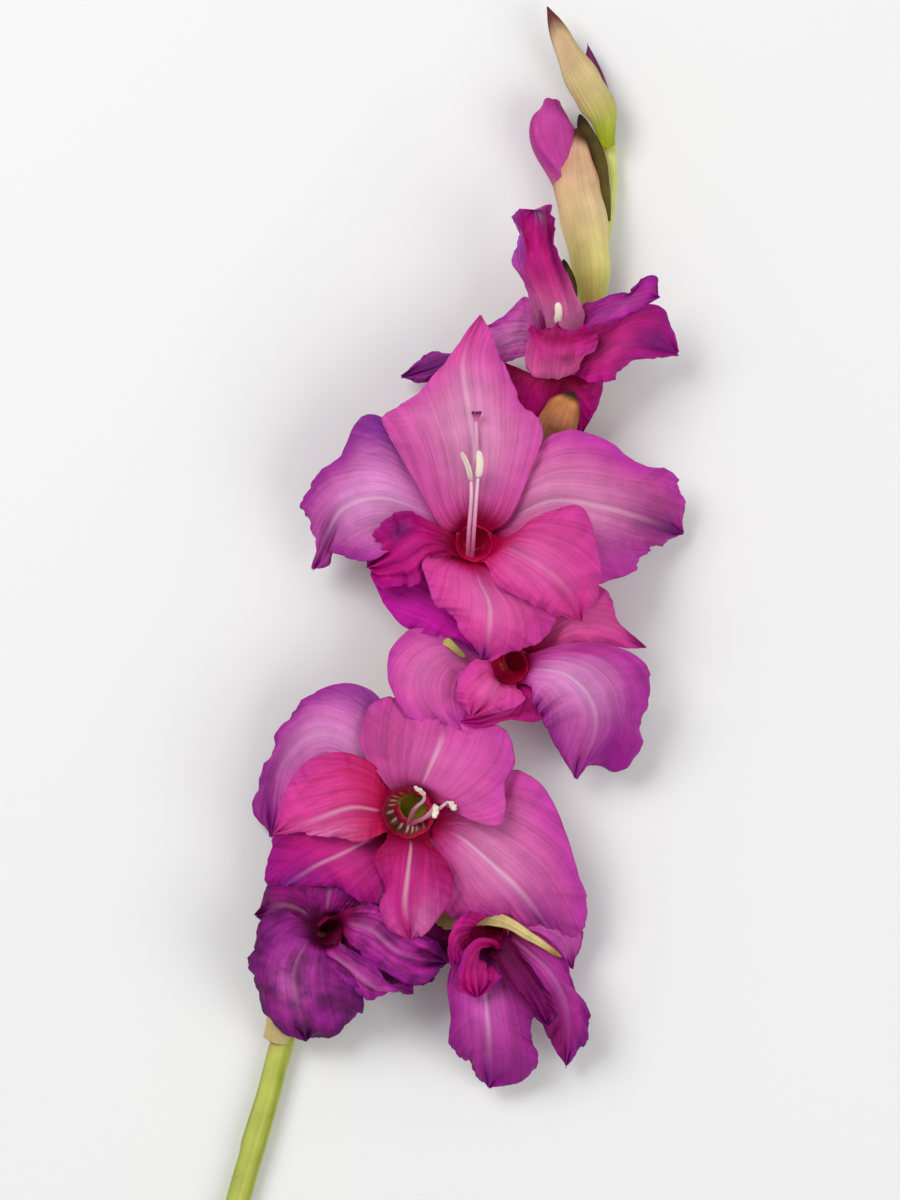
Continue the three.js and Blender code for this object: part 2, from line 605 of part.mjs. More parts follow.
// ---- Bracts ----
// The green sheaths that a floret or bud grows from: x, y, z, reach left and right, bends, roll.
const bracts = {
  floret1_bract: ["bract", [
    [-58.5, -149, 9.8, 6, 6, -70, -70, 0],
    [-56, -140, 13, 6.5, 6.5, -60, -60, 0],
    [-50, -128, 20, 6, 6, -50, -50, 0],
    [-46, -118, 21, 2, 2, -40, -40, 0],
  ]],
  floret2_bract: ["dried", [
    [-36, -106, 13, 4, 4, -60, -60, 0],
    [-12, -108, 18, 4, 4, -60, -60, 0],
    [14, -106.5, 24, 2.5, 2.5, -30, -30, 0],
    [27, -112.5, 27.5, 1.5, 1.5, 0, 0, 0],
    [37, -119, 29, 0.8, 0.8, 0, 0, 0],
  ]],
  floret3_bract: ["bract", [
    [-39, -93, 10, 4, 4, -60, -60, 0],
    [-34, -89, 14, 5, 5, -60, -60, 0],
    [-28, -84, 17, 4, 4, -50, -50, 0],
    [-23, -81, 19, 1.5, 1.5, -30, -30, 0],
  ]],
  floret4_bract: ["bract", [
    [-15, -30, 11, 4, 4, -60, -60, 0],
    [-10, -20, 18, 5, 5, -40, -40, 0],
    [-3.5, -13, 29, 2, 2, -30, -30, 0],
    [5, -19, 34.5, 0.8, 0.8, 0, 0, 0],
  ]],
  floret5_bract: ["bract", [
    [2, -12, 10, 4, 4, -60, -60, 0],
    [4, -4, 15, 5, 5, -60, -60, 0],
    [6, 3, 20, 4, 4, -50, -50, 0],
    [7, 8, 23.5, 1.5, 1.5, -30, -30, 0],
  ]],
  floret6_bract: ["dried", [
    [33, 50, 12, 6, 6, -60, -60, 0],
    [35, 56, 21, 8, 8, -60, -60, 0],
    [38, 63, 27, 7, 6, -50, -50, 0],
    [41, 69.5, 30, 1.5, 1.5, -20, -20, 0],
  ]],
  floret6_inner_bract: ["dried", [
    [40, 84, 10, 3, 3, -40, -40, 0],
    [40, 96, 14, 3.5, 3.5, -40, -40, 0],
    [39.5, 106, 17, 3, 3, -40, -40, 0],
    [38, 114, 18, 0.8, 0.8, 0, 0, 0],
  ]],
  bud7_bract: ["bract", [
    [48, 98, 10.5, 6.5, 6.5, -80, -80, 0],
    [47.2, 112, 16.5, 9.5, 9.5, -80, -80, 0],
    [45, 127, 19.5, 10.5, 10.5, -75, -75, 0],
    [42.5, 139, 20.5, 10, 10, -70, -70, 0],
    [42, 150, 19, 6, 6, -50, -50, 0],
    [42.5, 158, 17.5, 1.2, 1.2, -20, -20, 0],
  ]],
  bud7_inner_bract: ["dried", [
    [51, 127, 12, 3, 3, -30, -30, 0],
    [50, 140, 12.5, 4, 4, -30, -30, 0],
    [47, 152, 12.5, 4, 4, -30, -30, 0],
    [43.5, 163, 12.5, 1, 1, 0, 0, 0],
  ]],
  bud8_bract: ["bract", [
    [53, 152, 10.5, 3, 3, -80, -80, 0],
    [51, 163, 15.5, 7.5, 7.5, -80, -80, 0],
    [45.5, 173, 17.5, 8, 8, -75, -75, 0],
    [39, 185, 16.5, 5, 5, -60, -60, 0],
    [32.7, 199, 13.5, 0.7, 0.7, 0, 0, 0],
  ]],
};

// ---- Buds ----
// Furled corollas: x, y, z and radius.
const buds = {
  bud7_corolla: [
    [47, 112, 9.5, 3],
    [44.5, 128, 12, 4.5],
    [38.5, 143, 13, 5.8],
    [34.5, 155, 14, 7.7],
    [34, 166.5, 14, 6],
  ],
  bud8_corolla: [
    [53, 158, 8, 2.5],
    [50.5, 167, 9.5, 4],
    [46, 176, 10.5, 3.6],
    [40.5, 187, 11, 1.2],
  ],
  bud9_corolla: [
    [54, 158, 3.5, 1.5],
    [51.5, 168, 4.5, 2.8],
    [48.5, 177, 5.5, 2.7],
    [46.3, 187, 7, 0.6],
  ],
};

// ---- Stamens ----
// Filaments and a style, rooted together in the throat: x, y, z, and true where an anther fattens its end.
const stamens = {
  floret6_stamens: [
    [[[37, 80, 19], [36.5, 85, 25], [36, 89, 30], [35.5, 92, 32.5], [35.8, 99, 36]], true],
  ],
  floret5_stamens: [
    [[[6, 14, 27], [6.2, 22, 37], [7, 33, 43.5], [7, 39.5, 46], [3.8, 49, 49]], true],
    [[[7.4, 14, 27], [7.9, 22, 37], [8.7, 33, 43.5], [9.3, 40.5, 46.5], [9.5, 49.5, 49.5]], true],
    [[[6.7, 14, 27], [7, 24, 36], [7.9, 38, 42.5], [8.8, 50, 44], [8.7, 60.5, 45]], false],
  ],
  floret3_stamens: [
    [[[-14, -75, 18], [-12, -70, 27], [-9, -67, 33], [-8.5, -65, 36], [-12, -62, 39]], true],
    [[[-13.4, -75, 18], [-9, -73, 27], [-6, -70, 33], [-5, -68, 36], [-5.5, -72.5, 38.5]], true],
    [[[-12.8, -75, 18], [-7, -72, 26], [-3, -69, 33], [-0.5, -67, 35], [1.5, -70, 38]], true],
  ],
};

// ---- Assembly ----

const spike = new THREE.Group();
const placed = []; // every piece so far, with the swollen shape that keeps later pieces clear of it

const largest = (solid) =>
  solid.decompose().reduce((best, part) => (part.volume() > best.volume() ? part : best));

// Adds a piece, cut back where it comes within the clearance of an earlier one.
function place(name, colour, shape) {
  let solid = shape(0);
  placed.forEach(({ swollen }) => {
    if (overlaps(solid, swollen)) solid = largest(solid.subtract(swollen));
  });
  solid = largest(solid.simplify(SIMPLIFY));
  placed.push({ swollen: shape(CLEARANCE) });
  const { vertProperties, triVerts } = solid.getMesh();
  const geometry = new THREE.BufferGeometry();
  geometry.setAttribute("position", new THREE.BufferAttribute(new Float32Array(vertProperties), 3));
  geometry.setIndex(new THREE.BufferAttribute(new Uint32Array(triVerts), 1));
  geometry.computeVertexNormals();
  const [tint, roughness] = colours[colour];
  const material = new THREE.MeshStandardMaterial({ color: tint, roughness, metalness: 0 });
  const mesh = new THREE.Mesh(geometry, material);
  mesh.name = name;
  spike.add(mesh);
}

function overlaps(a, b) {
  const [p, q] = [a.boundingBox(), b.boundingBox()];
  return [0, 1, 2].every((k) => p.min[k] < q.max[k] && q.min[k] < p.max[k]);
}

place("stem", "stem", (grow) => tube(stemRows, { steps: 26, grow }));

// Where the floret's rim lies: its throat, the way it faces and two directions across it.
function rimOf({ throat, faces }) {
  const axis = new THREE.Vector3(...faces).normalize();
  const across = new THREE.Vector3(1, 0, 0).addScaledVector(axis, -axis.x).normalize();
  return { centre: new THREE.Vector3(...throat), axis, across, up: axis.clone().cross(across) };
}

florets.forEach((floret) => {
  const { centre, axis } = rimOf(floret);
  const below = (depth) => centre.clone().addScaledVector(axis, -depth).toArray();
  const rows = [
    ...floret.tube.map((p) => [...p, TUBE_RADIUS]),
    [...below(FUNNEL_DEPTH), TUBE_RADIUS + NECK_FLARE],
    [...below(CLEARANCE + TEPAL_THICKNESS / 2), floret.rim],
  ];
  place(`${floret.name}_tube`, "throat", (grow) =>
    tube(rows, { steps: 8, sides: 12, wall: TUBE_WALL, boreStart: 0.5, grow }),
  );
});

Object.entries(stamens).forEach(([name, lines]) => {
  place(name, "stamen", (grow) =>
    wasm.Manifold.union(
      lines.map(([line, anther]) => {
        const radius = (i) => (anther && i >= line.length - 2 ? ANTHER_RADIUS : FILAMENT_RADIUS);
        const rows = line.map((p, i) => [...p, radius(i)]);
        return tube(rows, { steps: 8, sides: 6, grow });
      }),
    ),
  );
});

const above = (stations) => {
  const [x, y, z] = along(stations, 0.5);
  return new THREE.Vector3(x, y, z + 1000);
};

Object.entries(bracts).forEach(([name, [colour, stations]]) => {
  place(name, colour, (grow) => sheet(bentSurface(stations, above(stations)), BRACT_THICKNESS, grow));
});

Object.entries(buds).forEach(([name, rows]) => {
  place(name, "bud", (grow) => tube(rows, { steps: 8, grow }));
});

// Where a tepal is rooted: three inner tepals share the rim, and three outer ones the ring outside and
// below it, each a third of the way round. Gives the ring's radius and a function from a bearing to a point on it.
function rootRing(floret, inner) {
  const { centre, axis, across, up } = rimOf(floret);
  const radius = inner ? floret.rim : floret.rim + TEPAL_THICKNESS + CLEARANCE;
  const at = (turn) =>
    centre
      .clone()
      .addScaledVector(across, radius * Math.cos(turn))
      .addScaledVector(up, radius * Math.sin(turn))
      .addScaledVector(axis, inner ? 0 : -OUTER_DROP);
  return { radius, at };
}

// A point of a tepal, grown from the throat by FLORET_SIZE.
function grown(floret, point) {
  const centre = new THREE.Vector3(...floret.throat);
  return pointOf(point).sub(centre).multiplyScalar(FLORET_SIZE).add(centre).toArray();
}

function bentTepal(floret, bearing, inner, stations) {
  const { radius, at } = rootRing(floret, inner);
  const { centre, axis } = rimOf(floret);
  const width = (Math.PI * radius) / 3 - CLEARANCE;
  const curve = width / radius / DEG;
  const first = [...at(bearing * DEG).toArray(), width, width, curve, curve, 0];
  const rest = stations.map(([x, y, z, left, right, ...bends]) => [
    centre.x + FLORET_SIZE * x,
    centre.y + FLORET_SIZE * y,
    centre.z + FLORET_SIZE * z,
    FLORET_SIZE * left,
    FLORET_SIZE * right,
    ...bends,
  ]);
  const focus = centre.addScaledVector(axis, inner ? INNER_FOCUS : OUTER_FOCUS);
  return bentSurface([first, ...rest], focus);
}

function spannedTepal(floret, bearing, inner, lines) {
  const { radius, at } = rootRing(floret, inner);
  const side = Math.PI / 3 - CLEARANCE / radius;
  const rooted = (line, turn) => [
    at(bearing * DEG + turn).toArray(),
    ...line.map((point) => grown(floret, point)),
  ];
  return spannedSurface({
    left: rooted(lines.left, side),
    middle: rooted(lines.middle, 0),
    right: rooted(lines.right, -side),
  });
}

[true, false].forEach((whorl) =>
  florets.forEach((floret) => {
    Object.entries(floret.tepals).forEach(([tepal, [bearing, inner, shape]]) => {
      if (inner !== whorl) return;
      const surface = (Array.isArray(shape) ? bentTepal : spannedTepal)(floret, bearing, inner, shape);
      place(`${floret.name}_${tepal}`, floret.colour, (grow) => sheet(surface, TEPAL_THICKNESS, grow));
    });
  }),
);

// The part's frame: the origin under the middle of the spike, on the table.
const box = new THREE.Box3().setFromObject(spike);
spike.position.set(-(box.min.x + box.max.x) / 2, -(box.min.y + box.max.y) / 2, -box.min.z);

export default spike;
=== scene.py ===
# %% [markdown]
# # A cut gladiolus spike, lying on its back
# A gladiolus spike carries a row of funnel-shaped florets on one green stem, the oldest and widest open
# near the cut end, the youngest still furled in their sheaths at the far end. This scene builds it piece
# by piece: every tepal (a petal, to most people), every sheath, tube and stamen is a surface worked out
# from a few given lines. We start with the frame: the plain solids whose places these pieces take.

import bpy
import numpy as np
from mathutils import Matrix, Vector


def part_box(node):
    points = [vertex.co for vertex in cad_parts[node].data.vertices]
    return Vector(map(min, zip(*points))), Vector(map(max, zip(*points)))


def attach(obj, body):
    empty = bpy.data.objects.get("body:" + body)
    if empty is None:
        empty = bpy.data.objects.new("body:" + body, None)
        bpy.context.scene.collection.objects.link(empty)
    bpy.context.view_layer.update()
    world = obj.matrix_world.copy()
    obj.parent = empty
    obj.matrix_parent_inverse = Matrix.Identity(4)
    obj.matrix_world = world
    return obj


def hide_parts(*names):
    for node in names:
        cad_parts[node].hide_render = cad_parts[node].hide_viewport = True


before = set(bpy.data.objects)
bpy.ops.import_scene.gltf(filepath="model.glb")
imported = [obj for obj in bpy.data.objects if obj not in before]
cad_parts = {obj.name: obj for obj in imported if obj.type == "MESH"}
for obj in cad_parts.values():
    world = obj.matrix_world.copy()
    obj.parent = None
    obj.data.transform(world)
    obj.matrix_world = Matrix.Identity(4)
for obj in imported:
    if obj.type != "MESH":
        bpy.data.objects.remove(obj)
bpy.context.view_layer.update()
print("nodes in the frame:", len(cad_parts))

# %% [markdown]
# ## A curve through a few rows of numbers
# A midrib or a stalk is given by a handful of rows: a place in millimetres and the sizes there. A
# Catmull-Rom spline runs smoothly through all of them, so each row is a station that the piece really
# passes. It could be a Bezier curve with handles, but then each station needs two more points.

# %% The spline
STEP_FOR_DIRECTION = 0.01


def along(rows, t):
    """Rows at t, from 0 to 1: a uniform Catmull-Rom spline, one cubic between each two rows, whose ends are
    mirrored so that it starts and stops on the first and last row."""
    rows = np.asarray(rows, float)
    padded = np.vstack([2 * rows[0] - rows[1], rows, 2 * rows[-1] - rows[-2]])
    last = len(rows) - 1
    i = np.clip(np.floor(t * last).astype(int), 0, last - 1)
    f = (t * last - i)[:, None]
    a, b, c, d = padded[i], padded[i + 1], padded[i + 2], padded[i + 3]
    return 0.5 * (2 * b + (c - a) * f + (2 * a - 5 * b + 4 * c - d) * f**2 + (3 * b - a - 3 * c + d) * f**3)


def unit(vectors):
    """Each vector over its length."""
    return vectors / np.maximum(np.linalg.norm(vectors, axis=-1, keepdims=True), 1e-9)


def direction(rows, t):
    """The way the spline runs at t: from the place just before to the place just after, made unit long."""
    ahead = along(rows, np.minimum(t + STEP_FOR_DIRECTION, 1))
    behind = along(rows, np.maximum(t - STEP_FOR_DIRECTION, 0))
    return unit(ahead[:, :3] - behind[:, :3])


def smooth(low, high, x):
    """0 below low, 1 above high, and 3s² - 2s³ between, where s is the share of the way."""
    s = np.clip((x - low) / (high - low), 0, 1)
    return s * s * (3 - 2 * s)


print("halfway between 0 and 1:", along([[0.0], [1.0]], np.array([0.5]))[0, 0])

# %% [markdown]
# ## Where everything lies
# The tables below are in millimetres, measured from a point near the middle of the spike. The stem is
# the one piece that is easy to recognise in both, so its box tells how far to move everything to land
# on the frame.

# %% The stem's line, and the move from the tables to the frame
MM = 0.001
STEM_RADIUS_CUT = 4.2
STEM_RADIUS_TOP = 2.6
stem_line = [
    [-79, -231, 4.3], [-71, -201, 4.5], [-61.5, -168, 4.9], [-56, -147, 5.2], [-45, -112, 5.6],
    [-33, -80, 6], [-18, -45, 6.4], [0, -10, 6.6], [18, 25, 6.6], [33, 58, 6.4], [43, 88, 6],
    [49, 112, 5.6], [53, 134, 5.2], [53.5, 154, 5],
]
shares = np.linspace(0, 1, len(stem_line))
stem_widths = STEM_RADIUS_CUT + (STEM_RADIUS_TOP - STEM_RADIUS_CUT) * shares
stem_rows = [place + [width] for place, width in zip(stem_line, stem_widths)]

stem_ends = np.array([stem_rows[0][:3], stem_rows[-1][:3]], float)
stem_run = direction(stem_rows, np.array([0.0, 1.0]))
stem_radii = np.array([[STEM_RADIUS_CUT], [STEM_RADIUS_TOP]])
stem_reach = stem_radii * np.sqrt(1 - stem_run**2)
table_low = (stem_ends - stem_reach).min(axis=0)
table_high = (stem_ends + stem_reach).max(axis=0)
frame_low, frame_high = (np.array(corner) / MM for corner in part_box("stem"))
move = (frame_low + frame_high - table_low - table_high) / 2
move[2] = frame_low[2] - table_low[2]
print("move from the tables to the frame, mm:", move.round(2))

# %% [markdown]
# ## Turning arrays into a mesh
# Every piece ends the same way: its points go into a mesh with foreach_set, which takes a whole numpy
# array at once, it rides on the one body, and it takes the place of its plain solid. A UV map carries
# the lines that veins follow, and a colour attribute named tint carries the slow change of colour from
# base to tip. Both travel with the surface, so no pattern slides when a petal is bent.

# %% The mesh helper
def add_piece(name, points, faces, material, uv, tint, turn=0, stands_for=None):
    """points is n × 3 in table millimetres; faces is a list of index arrays, each row one face; uv is n × 2
    and tint n × 3 (linear) or n × 4, one for each point. Where U wraps round a tube, turn is its width: a
    face across the seam has that much added to its corners at the low end. stands_for is the frame's node,
    if not name."""
    mesh = bpy.data.meshes.new(name)
    mesh.vertices.add(len(points))
    mesh.vertices.foreach_set("co", ((points + move) * MM).ravel())
    corners = np.concatenate([f.ravel() for f in faces]).astype(np.int32)
    sizes = np.concatenate([np.full(len(f), f.shape[1]) for f in faces])
    mesh.loops.add(len(corners))
    mesh.loops.foreach_set("vertex_index", corners)
    mesh.polygons.add(len(sizes))
    mesh.polygons.foreach_set("loop_start", np.concatenate([[0], np.cumsum(sizes)[:-1]]).astype(np.int32))
    mesh.polygons.foreach_set("use_smooth", np.ones(len(sizes), bool))
    mesh.update(calc_edges=True)
    places = uv[corners]
    if turn:
        quads = places[: faces[0].size].reshape(-1, 4, 2)
        across_seam = np.ptp(quads[..., 0], axis=1) > turn / 2
        quads[..., 0] += turn * (across_seam[:, None] & (quads[..., 0] < turn / 2))
    mesh.uv_layers.new(name="lines").data.foreach_set("uv", places.ravel())
    colours = tint if tint.shape[1] == 4 else np.hstack([tint, np.zeros((len(tint), 1))])
    mesh.color_attributes.new("tint", "FLOAT_COLOR", "POINT").data.foreach_set("color", colours.ravel())
    mesh.materials.append(material)
    piece = bpy.data.objects.new(name if stands_for else name + "_shape", mesh)
    bpy.context.collection.objects.link(piece)
    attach(piece, "root")
    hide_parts(stands_for or name)


def grid_faces(rows, columns, start=0, wrap=False):
    """The quads of a grid of rows × columns points, counted from start; wrap joins its last column to its
    first."""
    i, j = np.meshgrid(np.arange(rows - 1), np.arange(columns if wrap else columns - 1), indexing="ij")
    right = (j + 1) % columns
    near, far = i * columns, (i + 1) * columns
    return start + np.stack([near + j, near + right, far + right, far + j], -1).reshape(-1, 4)


def run_along(line):
    """How far along a line of points each one lies: the sum of the steps before it."""
    return np.concatenate([[0], np.cumsum(np.linalg.norm(np.diff(line, axis=0), axis=1))])


def lines_uv(across, run):
    """The UV places of a grid: U as given and V the run of each row."""
    return np.stack([across, np.broadcast_to(run[:, None], across.shape)], -1).reshape(-1, 2)


print("quads of a 3 × 3 grid:", len(grid_faces(3, 3)))

# %% [markdown]
# ## Colour
# Colours are easiest to choose as the hex values of a colour picker, but Blender's shaders work in
# linear light. One function turns the one into the other.

# %% Hex to linear
def linear(hex_colour):
    """Each channel c of #rrggbb, as c / 12.92 up to 0.04045 and ((c + 0.055) / 1.055) ** 2.4 above it."""
    c = np.array([int(hex_colour[k : k + 2], 16) for k in (1, 3, 5)]) / 255
    return np.where(c <= 0.04045, c / 12.92, ((c + 0.055) / 1.055) ** 2.4)


def blend(first, second, share):
    """first where share is 0, second where it is 1, and a mix between; share has a number for each point."""
    return first + (second - first) * share[..., None]


print("mid grey is", linear("#808080").round(3), "in linear light")

# %% [markdown]
# ## One helper for shader nodes
# A material is a small network. This helper adds one node, sets its options and its sockets, and links
# a socket when it is given another node's output instead of a number.

# %% The node helper
def node(tree, kind, inputs=None, **settings):
    """Adds one shader node; inputs maps a socket's name or number to a value or to an output to link."""
    made = tree.nodes.new("ShaderNode" + kind)
    for name, value in settings.items():
        setattr(made, name, value)
    for socket, value in (inputs or {}).items():
        if isinstance(value, bpy.types.NodeSocket):
            tree.links.new(value, made.inputs[socket])
        else:
            made.inputs[socket].default_value = value
    return made


# %% [markdown]
# ## Petal tissue
# A fresh tepal is thin living tissue: a skin of small domed cells over a watery layer, crossed by fine
# veins that fan out from its base. The eye sees a satin surface, streaks of paler and deeper pink along
# the veins, and a faint relief. The UV map gives the shader the vein lines: U counts millimetres across
# the fan and V millimetres along the petal, so noise that is squeezed in V and stretched along it draws
# streaks that follow the veins. Real veins lie about 0.5 mm apart; they are drawn 0.8 to 1 mm apart so
# that they show at this size.

# %% The tissue material
VEIN_SPACING = 0.9
STREAK_LENGTH = 45
BLOTCH_SIZE = 7
CELL_SIZE = 0.6
BANDS_ACROSS = 0.22  # wide bands to one fine vein
BANDS_ALONG = 0.6  # and, along the petal, to one streak
BAND_STRENGTH = 0.8
NOISE_LOW, NOISE_HIGH = 0.3, 0.7  # where nearly all values of the noise lie
MIDRIB_HALF_WIDTH = 1.3
MIDRIB_COLOUR = "#f4d4e0"
VEIN_HEIGHT = 0.35
CELL_HEIGHT = 0.12
SHINE = 0.15


def tissue(name, roughness, sheen, streak, blotch, relief, glow=0.12):
    """A Principled surface whose base colour is the tint, lighter and darker by streaks along the UV lines
    and by soft blotches; streak, blotch and relief are how strong each is. The tint's alpha is how pale the
    line along U = 0 is, which is the midrib."""
    material = bpy.data.materials.new(name)
    material.use_nodes = True
    tree = material.node_tree
    tree.nodes.clear()
    tint = node(tree, "Attribute", attribute_name="tint")
    lines = node(tree, "UVMap", uv_map="lines").outputs["UV"]
    place = node(tree, "TexCoord").outputs["Object"]

    def noise(vector, scale, detail, **more):
        """A noise texture's value."""
        inputs = {"Vector": vector, "Scale": scale, "Detail": detail, **more}
        return node(tree, "TexNoise", inputs).outputs[0]

    def maths(operation, first, second=0.0):
        """The result of one Math node."""
        return node(tree, "Math", {0: first, 1: second}, operation=operation).outputs[0]

    def swing(value, amount):
        """Maps noise, which keeps near one half, to 1 - amount .. 1 + amount."""
        limits = {"From Min": NOISE_LOW, "From Max": NOISE_HIGH, "To Min": 1 - amount, "To Max": 1 + amount}
        return node(tree, "MapRange", {"Value": value, **limits}).outputs["Result"]

    vein_scale = (1 / VEIN_SPACING, 1 / STREAK_LENGTH, 1)
    band_scale = (BANDS_ACROSS / VEIN_SPACING, BANDS_ALONG / STREAK_LENGTH, 1)
    veins = node(tree, "Mapping", {"Vector": lines, "Scale": vein_scale}).outputs["Vector"]
    bands = node(tree, "Mapping", {"Vector": lines, "Scale": band_scale}).outputs["Vector"]
    fine = noise(veins, 1, 3, Roughness=0.6)
    wide = noise(bands, 1, 2)
    soft = noise(place, 1 / (BLOTCH_SIZE * MM), 4)
    cells = noise(place, 1 / (CELL_SIZE * MM), 1)
    striped = maths("MULTIPLY", swing(fine, streak), swing(wide, streak * BAND_STRENGTH))
    shade = maths("MULTIPLY", striped, swing(soft, blotch))
    shaded = node(tree, "VectorMath", {0: tint.outputs["Color"], "Scale": shade}, operation="SCALE")
    away = maths("ABSOLUTE", node(tree, "SeparateXYZ", {"Vector": lines}).outputs["X"])
    ribbing = {"Value": away, "From Min": 0.0, "From Max": MIDRIB_HALF_WIDTH, "To Min": 1, "To Max": 0}
    rib = node(tree, "MapRange", ribbing, interpolation_type="SMOOTHSTEP").outputs["Result"]
    share = maths("MULTIPLY", rib, tint.outputs["Alpha"])
    mixing = {0: share, 6: shaded.outputs["Vector"], 7: (*linear(MIDRIB_COLOUR), 1)}
    base = node(tree, "Mix", mixing, data_type="RGBA").outputs[2]
    height = maths("ADD", maths("MULTIPLY", fine, VEIN_HEIGHT), maths("MULTIPLY", cells, CELL_HEIGHT))
    bump = node(tree, "Bump", {"Height": height, "Distance": relief * MM, "Strength": 1})
    skin = node(
        tree,
        "BsdfPrincipled",
        {
            "Base Color": base, "Roughness": roughness, "Normal": bump.outputs["Normal"], "IOR": 1.45,
            "Specular IOR Level": SHINE, "Sheen Weight": sheen, "Sheen Roughness": 0.5,
            "Subsurface Weight": glow, "Subsurface Radius": (1.0, 0.35, 0.6), "Subsurface Scale": 1.2 * MM,
        },
    )
    node(tree, "OutputMaterial", {"Surface": skin.outputs["BSDF"]})
    return material


fresh_petal = tissue("fresh petal, satin", 0.55, 0.0, streak=0.16, blotch=0.1, relief=0.9)
ageing_petal = tissue("ageing petal, satin", 0.55, 0.0, streak=0.2, blotch=0.16, relief=1.1)
wilted_petal = tissue("wilted petal, creased", 0.6, 0.0, streak=0.28, blotch=0.5, relief=1.5)
furled_petal = tissue("furled bud petal, satin", 0.5, 0.0, streak=0.14, blotch=0.1, relief=0.9)
funnel_skin = tissue("floret tube, satin", 0.5, 0.0, streak=0.14, blotch=0.1, relief=0.6)
sheath_skin = tissue("fresh sheath, matt", 0.6, 0.1, streak=0.1, blotch=0.1, relief=0.8, glow=0.05)
dry_skin = tissue("drying sheath, papery", 0.75, 0.1, streak=0.22, blotch=0.25, relief=1.2, glow=0.0)
stem_skin = tissue("flower stalk, fresh, satin", 0.5, 0.05, streak=0.12, blotch=0.1, relief=0.7, glow=0.05)
pollen_skin = tissue("anthers and filaments, matt", 0.6, 0.2, streak=0.05, blotch=0.08, relief=0.5, glow=0.15)
print("materials:", len(bpy.data.materials))

# %% [markdown]
# ## A tepal is a sheet
# Six tepals stand round a floret's throat. An open one is drawn by three lines, its left edge, its midrib
# and its right edge, as a dressmaker would draw it, and the surface spans them. A rolled one is easier
# to give as a midrib with a blade on each side that is bent like a piece of a cylinder. Either way the
# sheet is a function of two numbers: u runs along the midrib and v across it, from -1 at the right edge
# to 1 at the left. Sculpting could give the same folds, but here a change of one number moves one part
# of one petal.

# %% The spanned sheet
SPAN_END = 0.995


def spanned_sheet(lines, u, v):
    """Across each u runs the parabola through the left edge at v = 1, the midrib at 0 and the right edge
    at -1: middle + (left - right) / 2 × v + ((left + right) / 2 - middle) × v². Gives the points, the signed
    distance from the midrib, and the midrib."""
    left, middle, right = (along(lines[key], u * SPAN_END) for key in ("left", "middle", "right"))
    slope = (left - right)[:, None] / 2
    bow = ((left + right) / 2 - middle)[:, None]
    points = middle[:, None] + slope * v[:, None] + bow * v[:, None] ** 2
    lateral = np.linalg.norm(points - middle[:, None], axis=2) * np.sign(v)
    return points, lateral, middle


# %% The bent sheet
TIP_POWER = 2.3  # 2 would round the tip as an ellipse; a little more leaves it fuller


def bent_sheet(stations, focus, u, v, tip_start=0.8, tip_least=0.05):
    """The place for each u and v. A station holds x, y, z, the reach to the left and right, how far each
    side bends out of flat in degrees, and a roll. Each side is an arc: its length is |v| times the reach, it
    turns by |v| times the bend, and it starts square to the line from the midrib to the focus. Past
    tip_start the reach shrinks nearly as the quarter of an ellipse, down to tip_least. Gives the points, the
    signed distance from the midrib, and the midrib."""
    row = along(stations, u)
    middle = row[:, :3]
    forward = direction(stations, u)
    face = focus - middle
    face = unit(face - forward * (face * forward).sum(axis=1, keepdims=True))
    roll = np.radians(row[:, 7:8])
    face = face * np.cos(roll) + np.cross(forward, face) * np.sin(roll)
    left = np.cross(face, forward)
    past = np.clip((u - tip_start) / (1 - tip_start), 0, 1)
    rounding = np.maximum((1 - past**TIP_POWER) ** 0.5, tip_least)
    on_left = v > 0
    full_reach = np.where(on_left[None, :], row[:, 3:4], row[:, 4:5]) * rounding[:, None]
    full_bend = np.radians(np.where(on_left[None, :], row[:, 5:6], row[:, 6:7]))
    reach = np.abs(v)[None, :] * full_reach
    bend = np.abs(v)[None, :] * full_bend
    across = reach * np.sinc(bend / np.pi) * np.sign(v)[None, :]
    out = reach * (bend / 2) * np.sinc(bend / 2 / np.pi) ** 2
    points = middle[:, None] + left[:, None] * across[..., None] + face[:, None] * out[..., None]
    return points, reach * np.sign(v)[None, :], middle


def normals_of(points):
    """The cross product of the steps along u and along v, made unit long."""
    return unit(np.cross(np.gradient(points, axis=0), np.gradient(points, axis=1)))


def shell(points, half_thickness):
    """A closed sheet: the grid moved half its thickness forwards and backwards along its normals, and a band
    of quads that joins the two round the edge. Gives the points and the lists of faces."""
    rows, columns = points.shape[:2]
    normals = normals_of(points)
    front = points + normals * half_thickness[..., None]
    back = points - normals * half_thickness[..., None]
    count = rows * columns
    index = np.arange(count).reshape(rows, columns)
    loop = np.concatenate([index[0, ::-1], index[1:, 0], index[-1, 1:], index[-2:0:-1, -1]])
    after = np.roll(loop, -1)
    band = np.stack([loop, loop + count, after + count, after], -1)
    faces = [grid_faces(rows, columns)[:, ::-1], grid_faces(rows, columns, count), band]
    return np.concatenate([front.reshape(-1, 3), back.reshape(-1, 3)]), faces


def add_sheet(name, points, half_thickness, tint, material, across, run):
    """Adds the closed sheet of a grid as a piece; its two faces share the UV lines and the tint."""
    vertices, faces = shell(points, half_thickness)
    uv = np.tile(lines_uv(across, run), (2, 1))
    colours = np.tile(tint.reshape(-1, tint.shape[-1]), (2, 1))
    add_piece(name, vertices, faces, material, uv, colours)


flat = np.stack([*np.meshgrid([0.0, 1, 2], [0.0, 1, 2], indexing="ij"), np.zeros((3, 3))], -1)
print("points of a closed 3 × 3 sheet:", len(shell(flat, np.ones((3, 3)))[0]))

